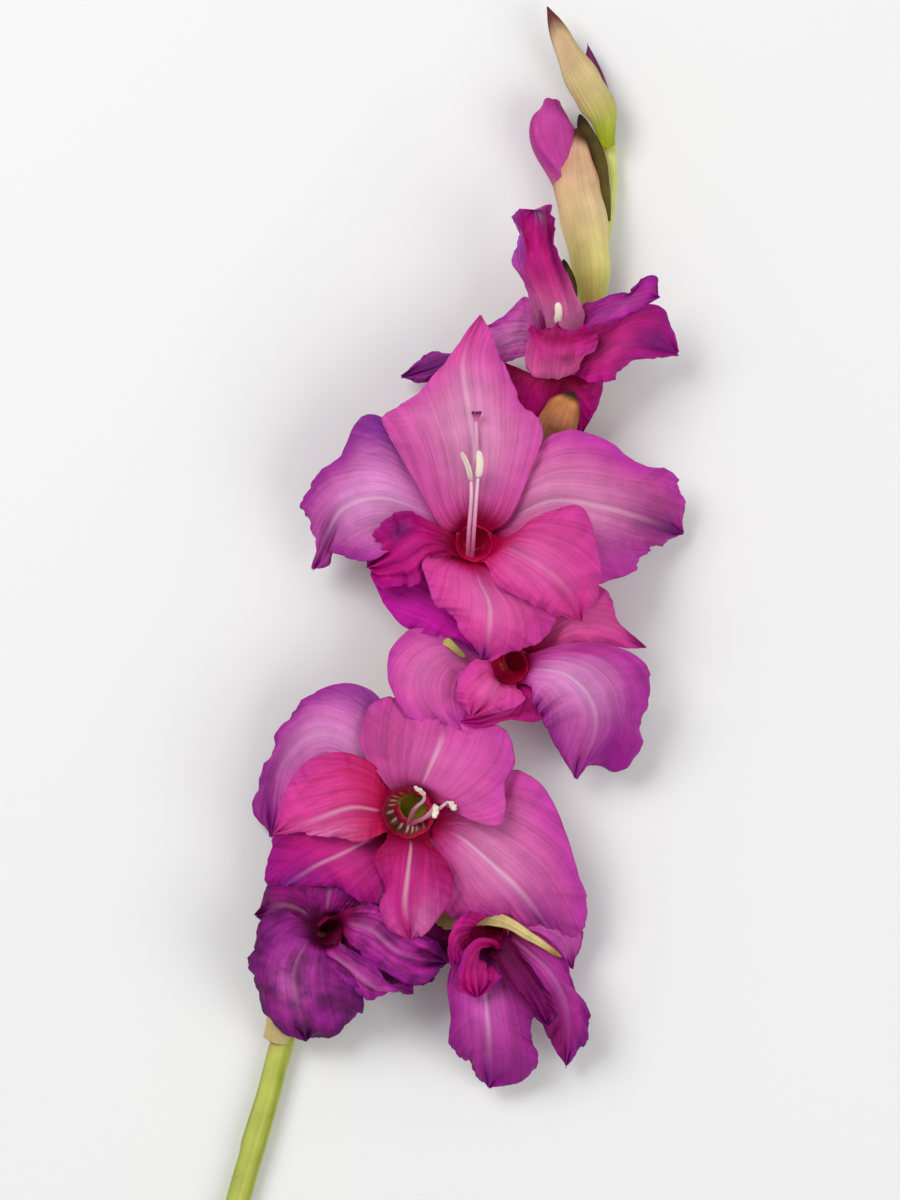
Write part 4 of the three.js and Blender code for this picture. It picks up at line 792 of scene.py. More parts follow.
# %% The petals' characters
PETAL_THICKNESS = 0.4
plain = {
    "colours": "pink", "pale": 0.6, "edge": 0.6, "blush": 0.26, "rib": 0.22, "marks": [],
    "ruffle": 1.1, "crumple": 0.3, "pleats": 0, "pleat_depth": 0.0,
}
by_skin = {
    "pink": {},
    "purple": {"colours": "purple", "pale": 0.4, "edge": 0.8, "ruffle": 1.0, "crumple": 0.5, "rib": 0.15},
    "wilted": {"colours": "wilted", "pale": 0.5, "edge": 0.8, "crumple": 1.1, "rib": 0.1},
}
own = {
    "floret5_dorsal": {
        "pale": 0.95, "edge": 0.25, "ruffle": 0.8, "rib": 0.35,
        "marks": [(0.35, 0.75, 0.14, 0.35, "#b84a90", 0.6), (0.9, 0, 0.12, 1, "#cc4090", 0.7)],
    },
    "floret5_upper_left": {
        "colours": "violet", "pale": 1.0, "edge": 0.9, "blush": 0.2, "rib": 0.3,
        # The first mark is painted shadow, cast by the dorsal tepal along this one's upper edge.
        "marks": [(0.3, -0.95, 0.22, 0.35, "#6c2080", 1.0), (0.82, 0.1, 0.16, 0.6, "#7c0a70", 0.9)],
    },
    "floret5_upper_right": {
        "pale": 0.8, "edge": 1.0, "rib": 0.35,
        "marks": [(0.94, -0.1, 0.2, 0.9, "#5c045e", 0.9), (0.6, -0.7, 0.2, 0.3, "#b0309a", 0.6)],
    },
    "floret5_lower_left": {
        "colours": "deep", "pale": 0.1, "blush": 0.45, "pleats": 4, "pleat_depth": 0.9, "rib": 0,
        "crumple": 1.5, "ruffle": 1.8,
        "marks": [(0.55, -0.6, 0.1, 0.3, "#5a1058", 0.9)],
    },
    "floret5_lower_right": {
        "colours": "rose", "pale": 0.5, "edge": 0.35, "blush": 0.4, "rib": 0.12,
        "pleats": 3, "pleat_depth": 0.5,
    },
    "floret5_lip": {
        "colours": "rose", "pale": 0.7, "edge": 0.5, "blush": 0.25, "rib": 0.3,
        # The second mark is painted shadow, cast by the lower right tepal whose edge lies just above it.
        "marks": [(0.97, 0, 0.1, 0.8, "#6a1470", 0.9), (0.55, 0.75, 0.25, 0.2, "#b83088", 0.5)],
    },
    "floret4_upper_left": {"colours": "plum", "pale": 0.1, "rib": 0, "edge": 0.2, "crumple": 0.15},
    "floret4_upper_right": {
        "colours": "rose", "edge": 0.5, "blush": 0.5, "rib": 0,
        "marks": [(0.6, 0, 0.25, 0.7, "#e658a4", 0.7), (0.95, 0, 0.1, 1, "#8a1a70", 0.8)],
    },
    "floret4_lower_left": {"colours": "rose", "pale": 0.6, "pleats": 3, "pleat_depth": 0.7, "rib": 0},
    "floret4_lower_right": {"colours": "deep", "pale": 0.5, "pleats": 3, "pleat_depth": 0.6, "rib": 0},
    "floret4_right": {
        "colours": "violet", "pale": 0.9, "edge": 0.7, "blush": 0.3, "rib": 0.3,
        "marks": [(0.8, 0.7, 0.18, 0.5, "#98108a", 1.0), (0.5, 0.9, 0.2, 0.25, "#b02c98", 0.8),
                  (0.3, 0.8, 0.1, 0.2, "#b42a88", 0.8)],
    },
    "floret4_left": {
        "pale": 0.3, "edge": 0.8, "rib": 0,
        # The first mark is painted shadow, where floret 5 shades this tepal.
        "marks": [(0.2, -0.5, 0.15, 0.5, "#8c1c8c", 0.9), (0.97, 0, 0.1, 1, "#5a0c60", 0.9)],
    },
    "floret3_upper_right": {
        "pale": 0.2, "edge": 0.5, "rib": 0.4, "blush": 0.15,
        "marks": [(0.5, 0.7, 0.3, 0.45, "#ac3c7c", 0.8), (0.1, 0, 0.12, 2, "#7c1c38", 0.8)],
    },
    "floret3_upper_left": {
        "colours": "violet", "pale": 0.8, "edge": 0.9, "rib": 0.1,
        "marks": [(0.25, -0.9, 0.2, 0.3, "#5c1c78", 0.8), (0.85, -0.5, 0.2, 0.4, "#7a1474", 0.8)],
    },
    "floret3_lip": {
        "colours": "deep", "pale": 0.5, "blush": 0.65, "rib": 0.4, "edge": 0.3,
        "marks": [(0.8, 0.7, 0.2, 0.4, "#d070a8", 0.7), (0.85, -0.7, 0.2, 0.3, "#c85098", 0.6)],
    },
    "floret3_lower_left": {
        "colours": "deep", "pale": 0.3, "edge": 0.9, "rib": 0.3, "blush": 0.35,
        "marks": [(0.9, 0, 0.2, 1, "#7a1a8a", 0.8), (0.5, 0.3, 0.2, 0.5, "#c02c80", 0.6)],
    },
    "floret3_left": {
        "colours": "rose", "pale": 0.2, "edge": 0.3, "blush": 0.85, "rib": 0.3,
        "marks": [(0.6, 0.7, 0.25, 0.4, "#d884b8", 0.6)],
    },
    "floret3_right": {
        "pale": 0.6, "edge": 0.8, "blush": 0.3, "rib": 0.4,
        # The first mark is painted shadow, cast by the upper right tepal that hangs over it.
        "marks": [(0.2, 0.9, 0.15, 0.4, "#a02a70", 0.7), (0.9, 0, 0.15, 1, "#8a1c84", 0.7),
                  (0.35, -0.8, 0.25, 0.5, "#b0287c", 0.8)],
    },
    "floret2_left": {"colours": "deep", "rib": 0, "edge": 1.0},
    "floret2_inner_left": {"colours": "deep", "pleats": 5, "pleat_depth": 0.7, "blush": 0.5, "rib": 0},
    "floret2_inner_right": {"colours": "dark", "pleats": 2, "pleat_depth": 0.8, "blush": 1.0, "rib": 0},
    "floret2_right": {
        "blush": 0.5, "edge": 0.9, "rib": 0.1, "marks": [(0.8, -0.7, 0.2, 0.4, "#8a0a5c", 0.9)],
    },
    "floret2_lip": {
        "colours": "purple", "pale": 0.9, "edge": 0.45, "rib": 0.3, "blush": 0.15,
        "marks": [(0.95, 0, 0.12, 1, "#7a1478", 0.8), (0.3, 0.8, 0.2, 0.3, "#9c1c74", 0.6)],
    },
    "floret2_upper_right": {"colours": "violet", "pale": 0.1, "edge": 1.0, "rib": 0},
    "floret1_left": {"colours": "dark", "pale": 0.2},
    "floret1_dorsal": {"colours": "dark", "pale": 0.4},
    "floret1_lip": {
        "pale": 0.5, "edge": 0.9, "crumple": 1.0,
        "marks": [(0.75, 0.5, 0.15, 0.4, "#901c84", 0.8), (0.35, -0.7, 0.2, 0.3, "#6e1468", 0.7),
                  (0.62, -0.1, 0.12, 0.3, "#b860a4", 0.45)],
    },
    "floret1_inner_right": {"colours": "purple", "blush": 0.5, "pleats": 3, "pleat_depth": 1.0},
    "floret1_lower_right": {"colours": "purple", "pale": 0.6, "pleats": 2, "pleat_depth": 1.0},
    "floret1_right": {"colours": "dark", "pale": 0.2},
    "floret6_dorsal": {
        "colours": "deep", "pale": 0.3, "edge": 0.9, "pleats": 2, "pleat_depth": 0.8, "rib": 0, "blush": 0.08,
        "marks": [(0.15, 0, 0.2, 1.5, "#e088b8", 0.9), (0.7, -0.65, 0.35, 0.25, "#54063c", 0.9),
                  (0.97, -0.6, 0.08, 0.4, "#b888b8", 0.6), (0.55, 0.95, 0.25, 0.25, "#a850b0", 0.8)],
    },
    "floret6_left": {
        "colours": "violet", "pale": 0.6, "edge": 1.0, "rib": 0,
        "marks": [(0.85, 0, 0.25, 1.2, "#5c1268", 0.9)],
    },
    "floret6_right": {"colours": "purple", "pale": 0.4, "edge": 1.0, "rib": 0, "crumple": 0.9},
    "floret6_lip": {
        "colours": "deep", "pale": 0.6, "edge": 0.8, "rib": 0, "pleats": 2, "pleat_depth": 0.6,
        "marks": [(0.32, 0.5, 0.2, 0.6, "#7c0040", 0.9), (0.9, 0, 0.15, 1, "#7a1478", 0.9)],
    },
    "floret6_lower_left": {
        "colours": "deep", "pale": 0.9, "edge": 0.3, "pleats": 1, "pleat_depth": 0.9, "rib": 0, "blush": 0.1,
        "crumple": 1.6, "ruffle": 1.6,
        # The second mark is painted shade under the edge that overlaps this tepal's top, and the third is a
        # painted highlight below it.
        "marks": [(0.5, -0.35, 0.06, 0.2, "#5c0030", 1.0), (0.75, 0, 0.12, 1.5, "#8c0044", 0.9),
                  (0.3, 0, 0.16, 1.5, "#dc68a4", 0.8)],
    },
    "floret6_lower_right": {"colours": "deep", "pale": 0.1, "edge": 0.4, "rib": 0, "blush": 0.7},
}


def character(name, skin):
    """The plain settings, changed by the floret's skin, then by the petal's own."""
    return {**plain, **by_skin[skin], **own.get(name, {})}


print("petals with settings of their own:", len(own))

# %% [markdown]
# ## Growing the petals
# Now each petal can be made: its sheet, then its pleats, ruffles, creases and veins, then a thickness
# that thins out towards the edge, as real tissue does.

# %% Grow all the tepals
PETAL_STEPS = 88
PETAL_COLUMNS = 60
STEPS_EASE = 1.25  # more than 1 sets the steps closer towards the tip
RIB_SPACING, RIB_HEIGHT = 2.2, 0.09
GROOVE_WIDTH, GROOVE_DEPTH = 1.1, 0.45
skins = {"pink": fresh_petal, "purple": ageing_petal, "wilted": wilted_petal}


def grow_petal(name, shape, focus, skin):
    """Surface = sheet + normal × (pleats + ruffles + crumples + ribs - midrib groove). Pleats are cosines
    across v; ribs are cosines of the fan coordinate, which is the distance from the midrib scaled so that
    its lines spread from the root as veins do. Gives the length along the midrib."""
    look = character(name, skin)
    chance = np.random.default_rng(sum(map(ord, name)))
    u = 1 - (1 - np.linspace(0, 1, PETAL_STEPS + 1)) ** STEPS_EASE
    v = np.linspace(-1, 1, PETAL_COLUMNS + 1)
    spanned = isinstance(shape, dict)
    points, lateral, middle = spanned_sheet(shape, u, v) if spanned else bent_sheet(shape, focus, u, v)
    run = run_along(middle)
    length, width = run[-1], np.abs(lateral).max()
    uu, vv = np.meshgrid(u, v, indexing="ij")
    fan = lateral * 20 / (4 + 26 * uu**0.8)
    opened = smooth(0.08, 0.3, uu)
    relief = look["ruffle"] * ruffles(uu, vv, length, chance)
    relief = relief + look["crumple"] * crumples(uu, vv, length, width, chance) * opened
    relief = relief + look["pleat_depth"] * np.cos(np.pi * look["pleats"] * vv) * opened * (0.4 + uu)
    relief = relief + RIB_HEIGHT * np.cos(2 * np.pi * fan / RIB_SPACING) * opened
    groove = np.exp(-((lateral / GROOVE_WIDTH) ** 2)) * opened * (1 - smooth(0.5, 1, uu))
    relief = relief - GROOVE_DEPTH * groove
    points = points + normals_of(points) * relief[..., None]
    half = PETAL_THICKNESS / 2 * (1 - 0.75 * np.abs(vv) ** 3) * (1 - 0.5 * uu)
    rib = look["rib"] * smooth(0.15, 0.35, uu) * (1 - smooth(0.6, 0.95, uu))
    tint = np.concatenate([petal_tint(uu, vv, look, chance), rib[..., None]], -1)
    add_sheet(name, points, half, tint, skins[skin], fan, run)
    return length


for name, (bearing, inner, shape) in tepals.items():
    floret = florets[name.partition("_")[0]]
    centre, axis, _, _ = rim_of(floret)
    focus = centre + axis * (INNER_FOCUS if inner else OUTER_FOCUS)
    length = grow_petal(name, rooted(floret, bearing, inner, shape), focus, floret["skin"])
    print(f"{name}: {length:.0f} mm along its midrib")

# %% [markdown]
# ## Stalks and tubes
# The stem, the filaments and the furled buds are all tubes: rings of points carried along a line. A ring
# needs two directions across the line. The world axis that the line runs along least gives the first,
# less its part along the line, so the rings don't twist. The seam of each tube starts there, and for a
# stalk that lies flat that is underneath, where it isn't seen.

# %% The tube
def tube_points(rows, t, radius, slide=0.0):
    """Rings at t: centre + radius × (e1 cos a + e2 sin a), where radius has a row for each t and a column for
    each angle a, and slide moves each ring along the line."""
    line = along(rows, t)
    forward = direction(rows, t)
    pick = np.argmin(np.abs(forward.mean(axis=0)))
    axis = -np.eye(3)[pick]
    e1 = unit(axis - forward * (forward @ axis)[:, None])
    e2 = np.cross(forward, e1)
    angle = np.linspace(0, 2 * np.pi, radius.shape[1], endpoint=False)
    ring = e1[:, None] * np.cos(angle)[:, None] + e2[:, None] * np.sin(angle)[:, None]
    centre = line[:, :3] + forward * np.broadcast_to(slide, t.shape)[:, None]
    return centre[:, None] + ring * radius[..., None]


def add_tube(name, points, tint, material, uv_width, stands_for=None):
    """A closed tube from rings of points: quads round it and a face over each end."""
    rings, sides = points.shape[:2]
    first = np.arange(sides)[None, ::-1]
    last = (rings - 1) * sides + np.arange(sides)[None, :]
    around = np.broadcast_to(np.linspace(0, uv_width, sides, endpoint=False), (rings, sides))
    uv = lines_uv(around, run_along(points.mean(axis=1)))
    faces = [grid_faces(rings, sides, wrap=True), first, last]
    colours = tint.reshape(-1, 3)
    add_piece(name, points.reshape(-1, 3), faces, material, uv, colours, uv_width, stands_for)


def angles(sides):
    """The angle of each side, as a row."""
    return np.linspace(0, 2 * np.pi, sides, endpoint=False)[None, :]


# %% [markdown]
# ## The stem
# A fresh gladiolus stem is round, satin green and a little ribbed. It thickens where a floret sits, and
# low down the scars of two cut leaves leave small steps. Its cut end shows pale pith inside a green skin.

# %% Stem
STEM_SIDES = 44
STEM_RINGS = 300
SWELLING, SWELLING_LENGTH = 0.5, 0.012
SCAR_LENGTH = 0.05
scar_places = [(0.115, 0.5, 2.2), (0.205, 0.35, 5.2)]  # share of the stem's length, height, side
floret_places = [0.275, 0.33, 0.4, 0.52, 0.61, 0.74, 0.83, 0.95]
cut_end = np.array([[0.06, 0.5], [0.6, 0.35], [0.9, 0.05]])  # share of the radius, how far in
top_end = np.array([[0.8, 0.5], [0.3, 0.8]])  # share of the radius, how far out


def stem_shape():
    """Radius = the row's radius × (1 + about 1% ribs) + a swelling at each floret + a step at each scar. The
    cut end is three rings that close in on the middle and dip by half a millimetre; the top is rounded by
    two. Gives t, the radius and the slide of each ring, and the angle of each side."""
    t = np.linspace(0, 1, STEM_RINGS)
    a = angles(STEM_SIDES)
    base = along(stem_rows, t)[:, 3:4]
    radius = base * (1 + 0.012 * np.cos(11 * a + 3 * t[:, None]) + 0.01 * np.cos(5 * a - 8 * t[:, None]))
    for place in floret_places:
        radius = radius + SWELLING * np.exp(-(((t[:, None] - place) / SWELLING_LENGTH) ** 2))
    for place, step, side in scar_places:
        near = 0.5 + 0.5 * np.cos(a - side)
        rise = smooth(place - 0.004, place, t) - smooth(place, place + SCAR_LENGTH, t)
        radius = radius + step * near * rise[:, None]
    radius = np.vstack([radius[:1] * cut_end[:, :1], radius, radius[-1:] * top_end[:, :1]])
    slide = np.concatenate([cut_end[:, 1], np.zeros(STEM_RINGS), top_end[:, 1]])
    return np.concatenate([np.zeros(len(cut_end)), t, np.ones(len(top_end))]), radius, slide, a


t, radius, slide, a = stem_shape()
stem_points = tube_points(stem_rows, t, radius, slide)
green, shade, pith = linear("#b4bb58"), linear("#8c9a26"), linear("#d6dab0")
stripe = np.clip(0.5 + 0.5 * np.cos(3 * a + 6 * t[:, None]), 0, 1) ** 4 * 0.8
stem_tint = blend(green, shade, stripe)
# Paler and yellower towards the top: the rachis's own yellower colour, made paler still as painted light
# where the buds shade it.
stem_tint = blend(stem_tint, linear("#dcdc80"), smooth(0.8, 0.92, t)[:, None])
stem_tint[: len(cut_end)] = pith
dry_base = np.exp(-(((t - 0.235) / 0.02) ** 2))[:, None] * (0.5 + 0.5 * np.cos(a - 1.2))
stem_tint = blend(stem_tint, linear("#b08a68"), dry_base)
add_tube("stem", stem_points, stem_tint, stem_skin, 2 * np.pi * 3.4)
print("stem thickness at the cut, mm:", round(float(2 * radius[len(cut_end) + 1].mean()), 2))

# %% [markdown]
# ## The funnels
# Below its tepals a floret narrows to a curved tube that grows from the stem. It is hollow: the outside
# runs up to the rim, turns over it and comes back down inside, to where the throat ends out of sight.

# %% Floret tubes
TUBE_WALL = 0.5
TUBE_RADIUS = 2.6
FUNNEL_DEPTH = 7
NECK_FLARE = 1.4
RIM_DEPTH = 0.3  # the rim stops this far short of the throat
RINGS_UP, RINGS_DOWN, TUBE_SIDES = 50, 30, 120
throat_colours = {"pink": "#c80a50", "purple": "#a80450", "wilted": "#74043c"}
OPEN_THROAT = "floret3"  # the one that can be looked into: old, with fine hairs inside


def funnel(name, floret):
    """Outside rings from the stem to the rim, then inside rings back to a little below half way, TUBE_WALL
    smaller, with eight shallow flutes that run up the funnel."""
    centre, axis, _, _ = rim_of(floret)
    radii = [TUBE_RADIUS, TUBE_RADIUS, TUBE_RADIUS + NECK_FLARE, floret["rim"]]
    line = [*floret["tube"], list(centre - axis * FUNNEL_DEPTH), list(centre - axis * RIM_DEPTH)]
    rows = [p + [r] for p, r in zip(line, radii)]
    up, down = np.linspace(0, 1, RINGS_UP), np.linspace(1, 0.45, RINGS_DOWN)
    t = np.concatenate([up, down])
    inset = np.concatenate([np.zeros(RINGS_UP), np.full(RINGS_DOWN, TUBE_WALL)])[:, None]
    a = angles(TUBE_SIDES)
    flutes = 1 + 0.03 * np.cos(8 * a) * smooth(0.3, 0.8, t)[:, None]
    points = tube_points(rows, t, (along(rows, t)[:, 3:4] - inset) * flutes)
    share = np.concatenate([smooth(0.2, 0.8, up), np.ones(RINGS_DOWN)])[:, None] * np.ones_like(a)
    tint = blend(linear("#c9b070"), linear(throat_colours[floret["skin"]]), share)
    if name == OPEN_THROAT:
        inward = np.concatenate([np.zeros(RINGS_UP), np.linspace(0, 1, RINGS_DOWN)])[:, None]
        hairs = np.clip(np.sin(17 * a + 2 * np.sin(3 * a)) + 0.6 * np.sin(29 * a), 0, 1)
        hairs = hairs * (0.6 + 0.4 * np.cos(a + 0.8))
        tint = blend(tint, linear("#5c3420"), smooth(0, 0.1, inward) * (0.6 - 0.4 * np.cos(a - 2.4)))
        band = smooth(0.08, 0.2, inward) * (1 - smooth(0.3, 0.4, inward))
        tint = blend(tint, linear("#dcb8b4"), hairs * band)
        tint = blend(tint, linear("#98902a"), smooth(0.3, 0.5, inward))
    add_tube(f"{name}_tube", points, tint, funnel_skin, 2 * np.pi * 3.5)


for floret_name, floret in florets.items():
    funnel(floret_name, floret)
print("tubes:", len(florets))

# %% [markdown]
# ## Stamens and style
# Three stamens lie together along the roof of the throat, each a thin filament with an anther hung on
# its end, and beside them the style, which ends in three small lobes. An anther is two long pollen sacs
# with a groove between, so its section is a circle pinched twice. Each line below is a filament's, whose
# last two points are its anther's ends, or, where it is marked False, the style's.

# %% Stamens
FILAMENT_RADIUS = 0.75
FILAMENT_RINGS, FILAMENT_SIDES = 48, 12
ANTHER_RADIUS = 1.15
ANTHER_RINGS, ANTHER_SIDES = 30, 20
PINCH = 0.22
CRINKLE = 0.22
stamens = {
    "floret6_stamens": [
        [[[37, 80, 19], [36.5, 85, 25], [36, 89, 30], [35.5, 92, 32.5], [35.8, 99, 36]], True],
    ],
    "floret5_stamens": [
        [[[6, 14, 27], [6.2, 22, 37], [7, 33, 43.5], [7, 39.5, 46], [3.8, 49, 49]], True],
        [[[7.4, 14, 27], [7.9, 22, 37], [8.7, 33, 43.5], [9.3, 40.5, 46.5], [9.5, 49.5, 49.5]], True],
        [[[6.7, 14, 27], [7, 24, 36], [7.9, 38, 42.5], [8.8, 50, 44], [8.7, 60.5, 45]], False],
    ],
    "floret3_stamens": [
        [[[-14, -75, 18], [-12, -70, 27], [-9, -67, 33], [-8.5, -65, 36], [-12, -62, 39]], True],
        [[[-13.4, -75, 18], [-9, -73, 27], [-6, -70, 33], [-5, -68, 36], [-5.5, -72.5, 38.5]], True],
        [[[-12.8, -75, 18], [-7, -72, 26], [-3, -69, 33], [-0.5, -67, 35], [1.5, -70, 38]], True],
    ],
}


def filament(name, line, tip_colour, node_name):
    """A tube that thins by a third and closes with a rounded end."""
    t = np.linspace(0, 1, FILAMENT_RINGS)
    around = np.ones((1, FILAMENT_SIDES))
    thin = FILAMENT_RADIUS * (1 - 0.35 * t) * np.sqrt(np.clip(1 - smooth(0.97, 1.0, t) * 0.96, 0.02, 1))
    points = tube_points([p + [1] for p in line], t, thin[:, None] * around)
    tint = blend(linear("#d8609c"), linear(tip_colour), smooth(0.1, 0.9, t)[:, None] * around)
    add_tube(name, points, tint, pollen_skin, 2, node_name)


def anther(name, foot, tip, node_name, opened):
    """Two sacs: radius = ANTHER_RADIUS × (1 - |2t - 1|^4)^½ × (1 + PINCH cos 2a), less a groove on each side,
    from foot to tip, slightly bowed. One that has opened is a fifth thinner and crinkles three times along
    its length."""
    foot, tip = np.array(foot, float), np.array(tip, float)
    bow = np.array([0.5, 0, 0.6])
    rows = [[*foot, 1], [*(foot * 0.5 + tip * 0.5 + bow), 1], [*tip, 1]]
    t = np.linspace(0, 1, ANTHER_RINGS)
    a = angles(ANTHER_SIDES)
    swell = np.sqrt(np.clip(1 - np.abs(2 * t - 1) ** 4, 0.01, 1))[:, None]
    section = 1 + PINCH * np.cos(2 * a) - 0.12 * np.exp(-((np.sin(a) / 0.25) ** 2))
    radius = ANTHER_RADIUS * swell * section
    if opened:
        radius = radius * (0.8 + CRINKLE * np.sin(6 * np.pi * t)[:, None] * np.cos(a - 1))
    groove = np.exp(-((np.sin(a) / 0.3) ** 2)) * np.ones_like(swell)
    tint = blend(linear("#e8dcc8"), linear("#a87898"), 0.6 * groove)
    add_tube(name, tube_points(rows, t, radius), tint, pollen_skin, 6, node_name)


def style(name, line, node_name):
    """A filament whose end splits into three short lobes, spread from side to side."""
    filament(f"{name}_style", line, "#d8a0c0", node_name)
    end = np.array(line[-1], float)
    for side, label in ((-1.3, "l1.3"), (0.2, "r0.2"), (1.5, "r1.5")):
        lobe = [list(end - [0, 1, 0]), list(end + [side * 0.5, 0.7, 0.6]), list(end + [side, 2.0, 0.9])]
        filament(f"{name}_stigma_{label}", lobe, "#5c1048", node_name)


for node_name, lines in stamens.items():
    opened = node_name.startswith(OPEN_THROAT)
    for number, (line, has_anther) in enumerate(lines, 1):
        if has_anther:
            filament(f"{node_name}_filament_{number}", line[:4], "#e6c4d4", node_name)
            anther(f"{node_name}_anther_{number}", line[3], line[4], node_name, opened)
        else:
            style(node_name, line, node_name)
print("stamens:", [len(lines) for lines in stamens.values()])

# %% [markdown]
# ## Sheaths
# Every floret and bud grows out of two bracts, stiff green sheaths with fine parallel veins that meet at
# a dry brown tip. They are bent sheets, like a rolled petal but bent the other way, so that they wrap the
# bud. Each kind has five colours: foot, body, upper part, sides and tip.

# %% Bracts
BRACT_THICKNESS = 0.6
BRACT_STEPS, BRACT_COLUMNS = 90, 44
KEEL_HEIGHT, KEEL_WIDTH = 0.3, 0.9
BRACT_RIB_HEIGHT, BRACT_RIB_SPACING = 0.06, 1.6
EDGE_WAVE_HEIGHT, EDGE_WAVE_LENGTH = 0.3, 16
bract_colours = {
    "green": ["#a8b43c", "#b4b84c", "#bcb464", "#a89a50", "#8a7a40"],
    # The rosy kind's foot is its own pale yellow-green, made paler still as painted light where floret 6's
    # tepals shade it.
    "rosy": ["#e8e87c", "#d8be8a", "#c8907e", "#b4602e", "#4e2412"],
    "tip": ["#a4b020", "#ccb87c", "#cca888", "#a8a850", "#6c3030"],
    "dry": ["#b88a50", "#c08258", "#c8844c", "#8a5020", "#3a2010"],
    "collar": ["#c4b078", "#b8a060", "#a89858", "#a08050", "#7a6034"],
    "straw": ["#a8904c", "#c8b474", "#cdb980", "#b89c5c", "#9a7c44"],
    # The dark kind, for the inner sheaths, is a brown-green made much darker as painted shade, where they lie
    # under outer sheaths and tepals.
    "dark": ["#5e5424", "#5c4c22", "#4c3a1c", "#3e2a16", "#2a1a12"],
}
withered_kinds = ("dry", "straw", "dark")
bracts = {
    "floret1_bract": ["collar", [
        [-58.5, -149, 9.8, 6, 6, -70, -70, 0],
        [-56, -140, 13, 6.5, 6.5, -60, -60, 0],
        [-50, -128, 20, 6, 6, -50, -50, 0],
        [-46, -118, 21, 2, 2, -40, -40, 0],
    ]],
    "floret2_bract": ["straw", [
        [-36, -106, 13, 4, 4, -60, -60, 0],
        [-12, -108, 18, 4, 4, -60, -60, 0],
        [14, -106.5, 24, 2.5, 2.5, -30, -30, 0],
        [27, -112.5, 27.5, 1.5, 1.5, 0, 0, 0],
        [37, -119, 29, 0.8, 0.8, 0, 0, 0],
    ]],
    "floret3_bract": ["green", [
        [-39, -93, 10, 4, 4, -60, -60, 0],
        [-34, -89, 14, 5, 5, -60, -60, 0],
        [-28, -84, 17, 4, 4, -50, -50, 0],
        [-23, -81, 19, 1.5, 1.5, -30, -30, 0],
    ]],
    "floret4_bract": ["green", [
        [-15, -30, 11, 4, 4, -60, -60, 0],
        [-10, -20, 18, 5, 5, -40, -40, 0],
        [-3.5, -13, 29, 2, 2, -30, -30, 0],
        [5, -19, 34.5, 0.8, 0.8, 0, 0, 0],
    ]],
    "floret5_bract": ["green", [
        [2, -12, 10, 4, 4, -60, -60, 0],
        [4, -4, 15, 5, 5, -60, -60, 0],
        [6, 3, 20, 4, 4, -50, -50, 0],
        [7, 8, 23.5, 1.5, 1.5, -30, -30, 0],
    ]],
    "floret6_bract": ["dry", [
        [33, 50, 12, 6, 6, -60, -60, 0],
        [35, 56, 21, 8, 8, -60, -60, 0],
        [38, 63, 27, 7, 6, -50, -50, 0],
        [41, 69.5, 30, 1.5, 1.5, -20, -20, 0],
    ]],
    "floret6_inner_bract": ["dark", [
        [40, 84, 10, 3, 3, -40, -40, 0],
        [40, 96, 14, 3.5, 3.5, -40, -40, 0],
        [39.5, 106, 17, 3, 3, -40, -40, 0],
        [38, 114, 18, 0.8, 0.8, 0, 0, 0],
    ]],
    "bud7_bract": ["rosy", [
        [48, 98, 10.5, 6.5, 6.5, -80, -80, 0],
        [47.2, 112, 16.5, 9.5, 9.5, -80, -80, 0],
        [45, 127, 19.5, 10.5, 10.5, -75, -75, 0],
        [42.5, 139, 20.5, 10, 10, -70, -70, 0],
        [42, 150, 19, 6, 6, -50, -50, 0],
        [42.5, 158, 17.5, 1.2, 1.2, -20, -20, 0],
    ]],
    "bud7_inner_bract": ["dark", [
        [51, 127, 12, 3, 3, -30, -30, 0],
        [50, 140, 12.5, 4, 4, -30, -30, 0],
        [47, 152, 12.5, 4, 4, -30, -30, 0],
        [43.5, 163, 12.5, 1, 1, 0, 0, 0],
    ]],
    "bud8_bract": ["tip", [
        [53, 152, 10.5, 3, 3, -80, -80, 0],
        [51, 163, 15.5, 7.5, 7.5, -80, -80, 0],
        [45.5, 173, 17.5, 8, 8, -75, -75, 0],
        [39, 185, 16.5, 5, 5, -60, -60, 0],
        [32.7, 199, 13.5, 0.7, 0.7, 0, 0, 0],
    ]],
}


